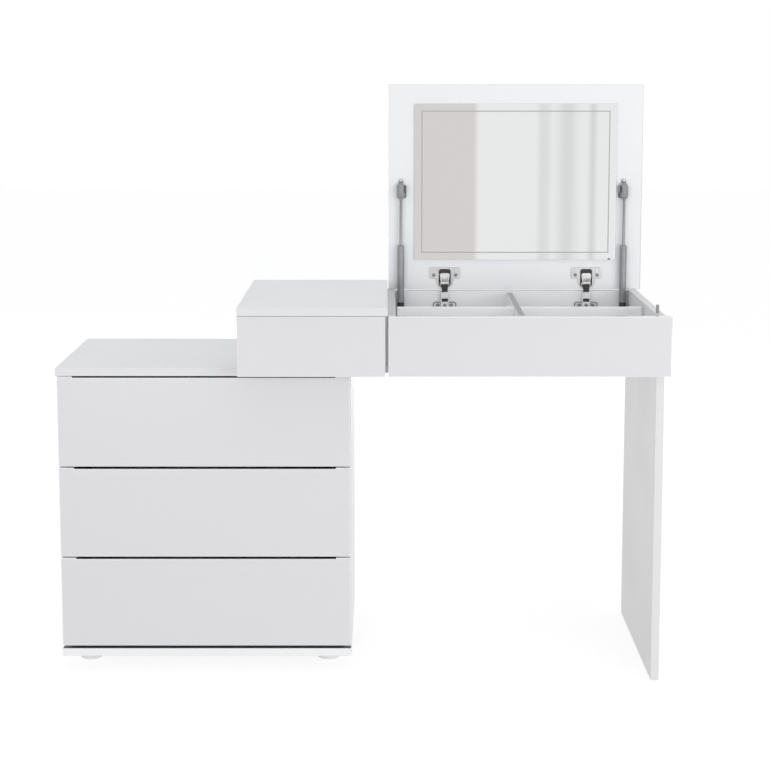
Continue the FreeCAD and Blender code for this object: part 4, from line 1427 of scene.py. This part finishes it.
    def low_brackets(self) -> None:
        """Makes the lower brackets, on the carcass."""
        deep, tall, radius = self.low_plate
        tip, chamfer = self.low_stud_tip
        shank = self.low_stud[-1][0]
        outline = rounded((self.y - deep, self.y + deep), (self.foot_z - tall, self.foot_z + tall), radius)
        heights = [self.foot_z + way * self.low_screw for way in BOTH_WAYS]
        holes = [ring(self.y, height, self.hole, self.hole_facets) for height in heights]
        blank = Blank()
        for side in Side:
            _, x, out, wall = side.value
            inner = wall - out * self.plate
            blank.plate([outline, *holes], Plane.SIDE, (min(wall, inner), max(wall, inner)))
            length = abs(x - inner) + self.low_stud_over
            stud = (*self.low_stud, (shank, length - chamfer), (tip, length), (0.0, length))
            seat = (inner, self.y, self.foot_z)
            blank.turned(pointed(stud, -out), seat, Axis.X, self.low_stud_facets)
        self.fit(blank, "strut_low_bracket_pair", "carcass", "zinc_steel", [ZINC], ("strut_low_brackets",),
                 METAL_ARRIS)

    def lid_brackets(self) -> None:
        """Makes the upper brackets, on the lid."""
        h = self.head_z
        back = (self.face - self.plate, self.face)
        pad_z = (h - self.pad_z[0], h + self.pad_z[1])
        tail_z = (h + self.tail_z[0], h + self.tail_z[1])
        half, tail_round = self.tail
        tall, tab_round = self.tab_half
        tab_y = (self.y - self.tab_y[0], self.face - self.tab_y[1])
        tab = rounded(tab_y, (h - tall, h + tall), tab_round, LEFT_ROUND)
        low_screw, high_screw = self.lid_screws
        blank = Blank()
        for side in Side:
            _, x, out, _ = side.value
            across = sorted((x + out * self.pad_x[0], x - out * self.pad_x[1]))
            pad = rounded((across[0], across[1]), pad_z, self.pad_round, FOOT_ROUND)
            tail = rounded((x - half, x + half), tail_z, tail_round, HEAD_ROUND)
            for outline, height in ((pad, low_screw), (tail, high_screw)):
                hole = ring(x, h + height, self.hole, self.hole_facets)
                blank.plate([outline, hole], Plane.FACING, back)
            edge = sorted(x - out * reach for reach in self.tab_x)
            blank.plate([tab], Plane.SIDE, (edge[0], edge[1]))
            seat = (x - out * self.tab_x[0], self.y, h)
            blank.turned(pointed(self.lid_stud, out), seat, Axis.X, self.lid_stud_facets)
        self.fit(blank, "lid_bracket_pair", "lid", "grey_plastic", [GREY_PLASTIC], ("lid_strut_brackets",),
                 METAL_ARRIS)

    def build(self) -> None:
        """Makes both struts and their brackets."""
        for side in Side:
            self.socket(side)
            self.shafts(side)
            self.retaining_clip(side)
        self.low_brackets()
        self.lid_brackets()


@dataclass
class Fasteners(Assembly):
    """The cross-headed screws of the hinges, brackets and boards.

    Attributes:
        head: Radius of a screw's head.
        rise: Height of a screw's head.
        crown: Shares of that radius and height on the head's dome.
        shank: Radius of a screw's shank.
        core: Share of that radius between the threads.
        bite: Length of a screw's shank.
        tip: Radius and height of the shank's tip.
        turns: Number of threads.
        thread: Half the height of a thread.
        thread_ends: Bare length below the threads, and bare length in all.
        seat: Bare length under the head.
        cross: Shares of the head's radius that the recess takes in length and width.
        cross_floor: Shares of the head's height where the recess's two arms end.
        cross_over: Share of the head's height that the recess is cut from.
        arm_turn: Turn of the arms' screws.
        short: Size of the arms' screws.
        small: Size of the lower brackets' screws.
        large: Size of the screws in the chest's top.
        chest_x: Places of these across.
        chest_y: Places of these from front to back.
        chest_z: Their height.
        facets: Facets round a screw.
        hinge_spin: Turn from one hinge screw to the next.
        lid_spin: Turn from one lid bracket screw to the next.
        low_spin: Turn from one lower bracket screw to the next.
        chest_spin: Turn from one screw in the chest's top to the next.
    """

    head: float = 0.004
    rise: float = 0.002
    crown: Profile = ((1.0, 0.35), (0.88, 0.75), (0.6, 1.0))
    shank: float = 0.00172
    core: float = 0.72
    bite: float = 0.0105
    tip: Span = (0.0006, 0.0004)
    turns: int = 7
    thread: float = 0.0005
    thread_ends: Span = (0.001, 0.0015)
    seat: float = 0.0002
    cross: Span = (0.62, 0.13)
    cross_floor: Span = (0.25, 0.2)
    cross_over: float = 1.5
    arm_turn: float = 0.4
    short: Point = (1.0, 1.0, 0.75)
    small: Point = (0.75, 0.75, 0.75)
    large: Point = (1.25, 1.25, 1.4)
    chest_x: Span = (-0.200, -0.077)
    chest_y: Span = (-0.094, 0.155)
    chest_z: float = 0.645
    facets: int = 24
    hinge_spin: float = 1.1
    lid_spin: float = 0.9
    low_spin: float = 0.7
    chest_spin: float = 0.8

    def screw_profile(self) -> Loop:
        """The profile of a screw, from its tip to the crown of its head.

        Returns:
            The radius and height of each point.
        """
        low, bare = self.thread_ends
        valley = self.shank * self.core
        profile = [(0.0, -self.bite), (self.tip[0], -self.bite + self.tip[1])]
        for turn in range(self.turns):
            foot = -self.bite + low + turn * (self.bite - bare) / self.turns
            profile += [(valley, foot), (self.shank, foot + self.thread), (valley, foot + 2.0 * self.thread)]
        profile += [(self.shank, -self.seat), (self.shank, 0.0), (self.head, 0.0)]
        profile += [(self.head * wide, self.rise * high) for wide, high in self.crown]
        return [*profile, (0.0, self.rise)]

    def pattern(self) -> bpy.types.Mesh:
        """Shapes one screw, its head up, seated at the origin.

        Returns:
            The screw's mesh.
        """
        blank = Blank()
        blank.turned(self.screw_profile(), (0.0, 0.0, 0.0), Axis.Z, self.facets)
        body = bpy.data.objects.new("screw_body", blank.mesh("screw_body"))
        bpy.context.scene.collection.objects.link(body)
        arm, wide = (self.head * share for share in self.cross)
        stock = [body]
        for (half_x, half_y), floor in zip(((arm, wide), (wide, arm)), self.cross_floor):
            blank = Blank()
            depth = (self.rise * floor, self.rise * self.cross_over)
            blank.block((-half_x, half_x), (-half_y, half_y), depth)
            cutter = bpy.data.objects.new("screw_cross", blank.mesh("screw_cross"))
            bpy.context.scene.collection.objects.link(cutter)
            stock.append(cutter)
            cut = body.modifiers.new("recess", "BOOLEAN")
            cut.operation = "DIFFERENCE"
            cut.solver = "EXACT"
            cut.object = cutter
        graph = bpy.context.evaluated_depsgraph_get()
        made = bpy.data.meshes.new_from_object(body.evaluated_get(graph))
        for item in stock:
            bpy.data.objects.remove(item)
        return made

    def drive(self, blank: Blank, screw: bpy.types.Mesh, spot: Point, lay: Matrix, turn: float,
              size: Point = WHOLE, finish: int = 0) -> None:
        """Drives one screw.

        Args:
            blank: The set that it belongs to.
            screw: Its mesh.
            spot: Its seat.
            lay: The turn that points its head.
            turn: Its turn about its own axis.
            size: Its size along its own axes.
            finish: Index of its finish on the set.
        """
        seated = Matrix.Translation(spot) @ lay @ Matrix.Rotation(turn, 4, "Z")
        blank.stamp(screw, seated @ Matrix.Diagonal((*size, 1.0)), finish)

    def build(self) -> None:
        """Drives every screw of the lid and of the carcass, each turned further than the last."""
        screw = self.pattern()
        hinges, struts = HingePair(), GasStruts()
        facing = Matrix.Rotation(math.pi / 2, 4, "X")
        lid, carcass = Blank(), Blank()
        driven = 0
        wing_x, wing_z = hinges.wing_screw
        for x in hinges.centres:
            for way in BOTH_WAYS:
                wing = (x + way * wing_x, hinges.face - hinges.flange, wing_z)
                plate = (x + way * hinges.plate_screw, hinges.plate_inner.y[0], hinges.screw_z)
                for blank, spot in ((lid, wing), (carcass, plate)):
                    driven += 1
                    self.drive(blank, screw, spot, facing, driven * self.hinge_spin)
            arm = (x, hinges.web.y[0], hinges.screw_z)
            self.drive(carcass, screw, arm, facing, self.arm_turn, self.short)
        for side in Side:
            _, x, out, wall = side.value
            for height in struts.lid_screws:
                driven += 1
                spot = (x, struts.face - struts.plate, struts.head_z + height)
                self.drive(lid, screw, spot, facing, driven * self.lid_spin, WHOLE, SECOND_FINISH)
            inward = Matrix.Rotation(-out * math.pi / 2, 4, "Y")
            for way in BOTH_WAYS:
                driven += 1
                spot = (wall - out * struts.plate, struts.y, struts.foot_z + way * struts.low_screw)
                self.drive(carcass, screw, spot, inward, driven * self.low_spin, self.small)
        for x in self.chest_x:
            for y in self.chest_y:
                driven += 1
                spot = (x, y, self.chest_z)
                self.drive(carcass, screw, spot, Axis.Z.value, driven * self.chest_spin, self.large)
        self.fit(lid, "lid_screw_set", "lid", "zinc_steel", [DARK_STEEL_AND_SHADE, ZINC], ("lid_screws",))
        self.fit(carcass, "carcass_screw_set", "carcass", "zinc_steel", [DARK_STEEL_AND_SHADE], ("carcass_screws",))


@dataclass
class Feet(Assembly):
    """What the table stands on: four round feet and two glides.

    Attributes:
        across: Places of the feet from left to right.
        along: Places of the feet from front to back.
        radius: Radius of a foot.
        height: Height of a foot.
        sole: Insets and heights of a foot's sole and groove, from the floor.
        collar: Insets and heights of a foot's collar, from its head.
        dome: Shares of a glide's radius, and heights, on its domed sole.
        foot_facets: Facets round a foot.
        glide_facets: Facets round a glide.
    """

    across: Span = (-0.565, -0.069)
    along: Span = (-0.059, 0.160)
    radius: float = 0.0225
    height: float = 0.0334
    sole: Profile = ((0.0030, 0.0), (0.0010, 0.0006), (0.0, 0.0024), (0.0, 0.0062), (0.0006, 0.0070),
                     (0.0014, 0.0074), (0.0014, 0.0086), (0.0006, 0.0092))
    collar: Profile = ((0.0003, -0.0030), (0.0, -0.0024), (0.0, 0.0))
    dome: Profile = ((0.6, 0.0002), (0.88, 0.0009), (1.0, 0.0021))
    foot_facets: int = 44
    glide_facets: int = 28

    def build(self) -> None:
        """Makes the feet and the glides."""
        r, h = self.radius, self.height
        profile = [(0.0, 0.0), *((r - inset, z) for inset, z in self.sole),
                   *((r - inset, z + h) for inset, z in self.collar), (0.0, h)]
        blank = Blank()
        for x in self.across:
            for y in self.along:
                blank.turned(profile, (x, y, 0.0), Axis.Z, self.foot_facets)
        self.fit(blank, "chest_foot_set", "carcass", "foot_plastic", [FOOT_PLASTIC], ("chest_feet",))
        low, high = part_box("leg_glides")
        middle = (low.x + high.x) / 2
        glide = (high.x - low.x) / 2
        dome = [(glide * share, z) for share, z in self.dome]
        profile = [(0.0, 0.0), *dome, (glide, high.z), (0.0, high.z)]
        blank = Blank()
        for y in (low.y + glide, high.y - glide):
            blank.turned(profile, (middle, y, 0.0), Axis.Z, self.glide_facets)
        self.fit(blank, "leg_glide_pair", "carcass", "foot_plastic", [FOOT_PLASTIC], ("leg_glides",))


@dataclass
class PushLatch(Assembly):
    """The push latch in the side panel's top edge.

    Attributes:
        place: Its place across and from front to back.
        sleeve_foot: Foot of its sleeve.
        sleeve_head: Head of its sleeve.
        sleeve_floor: Thickness of the sleeve's floor.
        sleeve_radius: Radius of its sleeve.
        sleeve_lip: Profile of the sleeve's mouth, from its head.
        pin_foot: Foot of its pin.
        pin_head: Head of its pin.
        pin_base: Profile of the pin's base, from its foot.
        pin_tip: Profile of the pin's grooved tip, from its head.
        facets: Facets round both.
    """

    place: Span = (0.589, -0.168)
    sleeve_foot: float = 0.700
    sleeve_head: float = 0.743
    sleeve_floor: float = 0.002
    sleeve_radius: float = 0.0039
    sleeve_lip: Profile = ((0.0039, -0.0002), (0.0038, 0.0), (0.00345, 0.0), (0.00338, -0.0006))
    pin_foot: float = 0.719
    pin_head: float = 0.759
    pin_base: Profile = ((0.0, 0.0), (0.0030, 0.0), (0.0032, 0.0004))
    pin_tip: Profile = ((0.0032, -0.0052), (0.0028, -0.0046), (0.0028, -0.0040), (0.0033, -0.0034),
                        (0.0033, -0.0012), (0.0028, -0.0003), (0.0018, 0.0), (0.0, 0.0))
    facets: int = 28

    def build(self) -> None:
        """Makes the sleeve and the pin."""
        base = (*self.place, 0.0)
        foot, floor = self.sleeve_foot, self.sleeve_foot + self.sleeve_floor
        bore = self.sleeve_lip[-1][0]
        sleeve = [(0.0, foot), (self.sleeve_radius, foot), *raised(self.sleeve_lip, self.sleeve_head),
                  (bore, floor), (0.0, floor)]
        pin = raised(self.pin_base, self.pin_foot) + raised(self.pin_tip, self.pin_head)
        plan = (("latch_sleeve", "carcass", GREY_PLASTIC, "latch_housing", sleeve),
                ("latch_pin", "plunger", FITTING_GREY, "latch_plunger", pin))
        for name, body, finish, node, profile in plan:
            blank = Blank()
            blank.turned(profile, base, Axis.Z, self.facets)
            self.fit(blank, name, body, "grey_plastic", [finish], (node,))


@dataclass(frozen=True)
class Lamp:
    """One soft box of the studio.

    Attributes:
        name: Its name.
        place: Its place.
        aim: The point that it faces.
        power: Its power in watts.
        size: Its width and height.
    """

    name: str
    place: Point
    aim: Point
    power: float
    size: Span

    def hang(self) -> None:
        """Hangs the soft box."""
        data = bpy.data.lights.new(self.name, "AREA")
        data.shape = "RECTANGLE"
        data.size, data.size_y = self.size
        data.energy = self.power
        lamp = bpy.data.objects.new(self.name, data)
        lamp.location = self.place
        lamp.rotation_euler = (Vector(self.aim) - Vector(self.place)).to_track_quat("-Z", "Y").to_euler()
        bpy.context.scene.collection.objects.link(lamp)


def bare_tree(owner: bpy.types.Material | bpy.types.World) -> bpy.types.NodeTree:
    """Gives a material or a world an empty set of nodes.

    Args:
        owner: The material or the world.

    Returns:
        Its nodes.
    """
    owner.use_nodes = True
    owner.node_tree.nodes.clear()
    return owner.node_tree


@dataclass
class Studio:
    """The plain white studio: floor, light, camera and the card that the mirror shows.

    Attributes:
        eye: Place of the camera.
        tilt: How far the camera looks down, in degrees.
        lens: Its focal length in millimetres.
        sensor: Its sensor's width in millimetres.
        shift: Its vertical shift.
        sight: How far it sees.
        ambient: Strength of the room's light.
        ambient_tint: Colour of that light.
        floor_half: Half the floor's width.
        floor_z: Height of the floor.
        floor_tone: Grey of the floor.
        floor_glow: The floor's own light, where it lights and where it is seen.
        card_x: Ends of the card that the mirror shows.
        card_y: Place of that card.
        card_z: Its foot and head.
        warm: Colour of its warm end.
        pale: Colour of the rest.
        fold: Colour of its folds, darker as painted shade.
        warm_end: Where its warm end stops.
        warm_edge: Width of the change there.
        folds: Middle and half width of its folds.
        lamps: The soft boxes.
    """

    eye: Point = (0.0494, -3.5287, 1.2230)
    tilt: float = 7.201
    lens: float = 80.15
    sensor: float = 36.0
    shift: float = -0.13
    sight: float = 60.0
    ambient: float = 0.665
    ambient_tint: Colour = (0.985, 0.99, 1.0)
    floor_half: float = 14.0
    floor_z: float = -0.0004
    floor_tone: float = 0.38
    floor_glow: Span = (0.29, 0.74)
    card_x: Span = (-3.2, 4.2)
    card_y: float = -4.8
    card_z: Span = (0.0, 3.4)
    warm: Colour = (0.720, 0.684, 0.676)
    pale: Colour = (0.890, 0.891, 0.893)
    fold: Colour = (0.715, 0.716, 0.718)
    warm_end: float = 0.515
    warm_edge: float = 0.012
    folds: Profile = ((0.859, 0.036), (0.977, 0.064), (1.107, 0.014))
    lamps: tuple[Lamp, ...] = (
        Lamp("key_box", (2.9, -4.2, 1.05), (0.0, 0.0, 0.6), 65.0, (3.0, 1.7)),
        Lamp("top_box", (0.1, -0.7, 2.7), (0.1, -0.1, 0.7), 4.5, (2.4, 1.4)),
        Lamp("fill_box", (-1.6, -4.2, 1.05), (0.1, 0.0, 0.6), 28.0, (2.0, 1.7)),
        Lamp("back_box", (1.0, 4.4, 0.34), (0.0, 0.2, 0.6), 52.0, (2.8, 0.5)),
    )

    def camera(self) -> None:
        """Sets up the camera at the photograph's angle."""
        data = bpy.data.cameras.new("camera")
        data.lens = self.lens
        data.sensor_width = self.sensor
        data.shift_y = self.shift
        data.clip_end = self.sight
        camera = bpy.data.objects.new("camera", data)
        camera.location = self.eye
        camera.rotation_euler = (math.radians(90.0 - self.tilt), 0.0, 0.0)
        bpy.context.scene.collection.objects.link(camera)
        bpy.context.scene.camera = camera

    def seen(self, tree: bpy.types.NodeTree) -> bpy.types.NodeSocket:
        """Adds nodes that are 1 for what the camera, a gloss or glass sees.

        Args:
            tree: The material's or the world's nodes.

        Returns:
            The output to read.
        """
        rays = add_node(tree, "ShaderNodeLightPath").outputs
        first = add_node(tree, "ShaderNodeMath", {0: rays["Is Camera Ray"], 1: rays["Is Glossy Ray"]})
        second = add_node(tree, "ShaderNodeMath", {0: first.outputs[0], 1: rays["Is Transmission Ray"]})
        first.operation = "MAXIMUM"
        second.operation = "MAXIMUM"
        return second.outputs[0]

    def world(self) -> None:
        """Makes the room: white where it is seen, softer where it lights."""
        world = bpy.data.worlds.new("studio")
        tree = bare_tree(world)
        feeds = {"Color": (*self.ambient_tint, 1.0), "Strength": self.ambient}
        light = add_node(tree, "ShaderNodeBackground", feeds)
        white = add_node(tree, "ShaderNodeBackground", {"Color": WHITE, "Strength": 1.0})
        both = {0: self.seen(tree), 1: light.outputs[0], 2: white.outputs[0]}
        blend = add_node(tree, "ShaderNodeMixShader", both)
        add_node(tree, "ShaderNodeOutputWorld", {"Surface": blend.outputs[0]})
        bpy.context.scene.world = world

    def sheet(self, name: str, spots: list[Point], material: bpy.types.Material) -> bpy.types.Object:
        """Adds one flat sheet of the studio.

        Args:
            name: Its name.
            spots: Its corners in order.
            material: Its material.

        Returns:
            The sheet.
        """
        mesh = bpy.data.meshes.new(name)
        mesh.from_pydata(spots, [], [tuple(range(len(spots)))])
        mesh.materials.append(material)
        sheet = bpy.data.objects.new(name, mesh)
        bpy.context.scene.collection.objects.link(sheet)
        return sheet

    def floor(self) -> None:
        """Lays the pale floor, which keeps a soft shadow."""
        material = bpy.data.materials.new("studio_floor")
        tree = bare_tree(material)
        grey = (self.floor_tone, self.floor_tone, self.floor_tone, 1.0)
        matt = add_node(tree, "ShaderNodeBsdfDiffuse", {"Color": grey})
        lights, shows = self.floor_glow
        span = {"Value": self.seen(tree), "To Min": lights, "To Max": shows}
        scale = add_node(tree, "ShaderNodeMapRange", span)
        feeds = {"Color": WHITE, "Strength": scale.outputs["Result"]}
        glow = add_node(tree, "ShaderNodeEmission", feeds)
        both = add_node(tree, "ShaderNodeAddShader", {0: matt.outputs[0], 1: glow.outputs[0]})
        add_node(tree, "ShaderNodeOutputMaterial", {"Surface": both.outputs[0]})
        s, z = self.floor_half, self.floor_z
        self.sheet("studio_floor", [(-s, -s, z), (s, -s, z), (s, s, z), (-s, s, z)], material)

    def card(self) -> None:
        """Stands a glowing card behind the camera, seen only in gloss and glass: one warm end, then pale with
        soft upright folds painted darker as shade.
        """
        left, right = self.card_x
        material = bpy.data.materials.new("studio_card")
        tree = bare_tree(material)
        coords = add_node(tree, "ShaderNodeTexCoord")
        split = add_node(tree, "ShaderNodeSeparateXYZ", {"Vector": coords.outputs["Object"]})
        span = {"Value": split.outputs["X"], "From Min": left, "From Max": right}
        share = add_node(tree, "ShaderNodeMapRange", span)
        ramp = add_node(tree, "ShaderNodeValToRGB", {"Fac": share.outputs["Result"]})
        glow = add_node(tree, "ShaderNodeEmission", {"Color": ramp.outputs["Color"]})
        add_node(tree, "ShaderNodeOutputMaterial", {"Surface": glow.outputs[0]})
        stops = [(self.warm_end, self.warm), (self.warm_end + self.warm_edge, self.pale)]
        # Darker stripes at the folds: painted shade on the glowing card.
        for centre, half in self.folds:
            stops += [(centre - half, self.pale), (centre, self.fold), (centre + half, self.pale)]
        ramp.color_ramp.elements[0].color = (*self.warm, 1.0)
        ramp.color_ramp.elements[1].color = (*self.pale, 1.0)
        for place, colour in stops:
            stop = ramp.color_ramp.elements.new((place - left) / (right - left))
            stop.color = (*colour, 1.0)
        y, (foot, head) = self.card_y, self.card_z
        spots = [(left, y, foot), (left, y, head), (right, y, head), (right, y, foot)]
        card = self.sheet("studio_card", spots, material)
        card.visible_camera = False
        card.visible_diffuse = False
        card.visible_shadow = False
        card.visible_transmission = False

    def build(self) -> None:
        """Sets up the whole studio."""
        self.camera()
        self.world()
        self.floor()
        for lamp in self.lamps:
            lamp.hang()
        self.card()
        LOG.info("studio: set up")


def corners(box: tuple[Vector, Vector]) -> list[list[float]]:
    """A box's two corners as plain lists."""
    return [[float(part) for part in corner] for corner in box]


def main() -> None:
    """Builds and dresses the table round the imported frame."""
    logging.basicConfig(level=logging.INFO, format="%(message)s")
    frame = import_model()
    Studio().build()
    groups = (Boards(), Drawers(), LidMirror(), HingePair(), GasStruts(), Fasteners(), Feet(), PushLatch())
    for group in groups:
        group.build()
        group.dress(frame)
    bpy.context.scene.view_settings.view_transform = "Standard"
    bpy.context.view_layer.update()


if __name__ == "__main__":
    main()
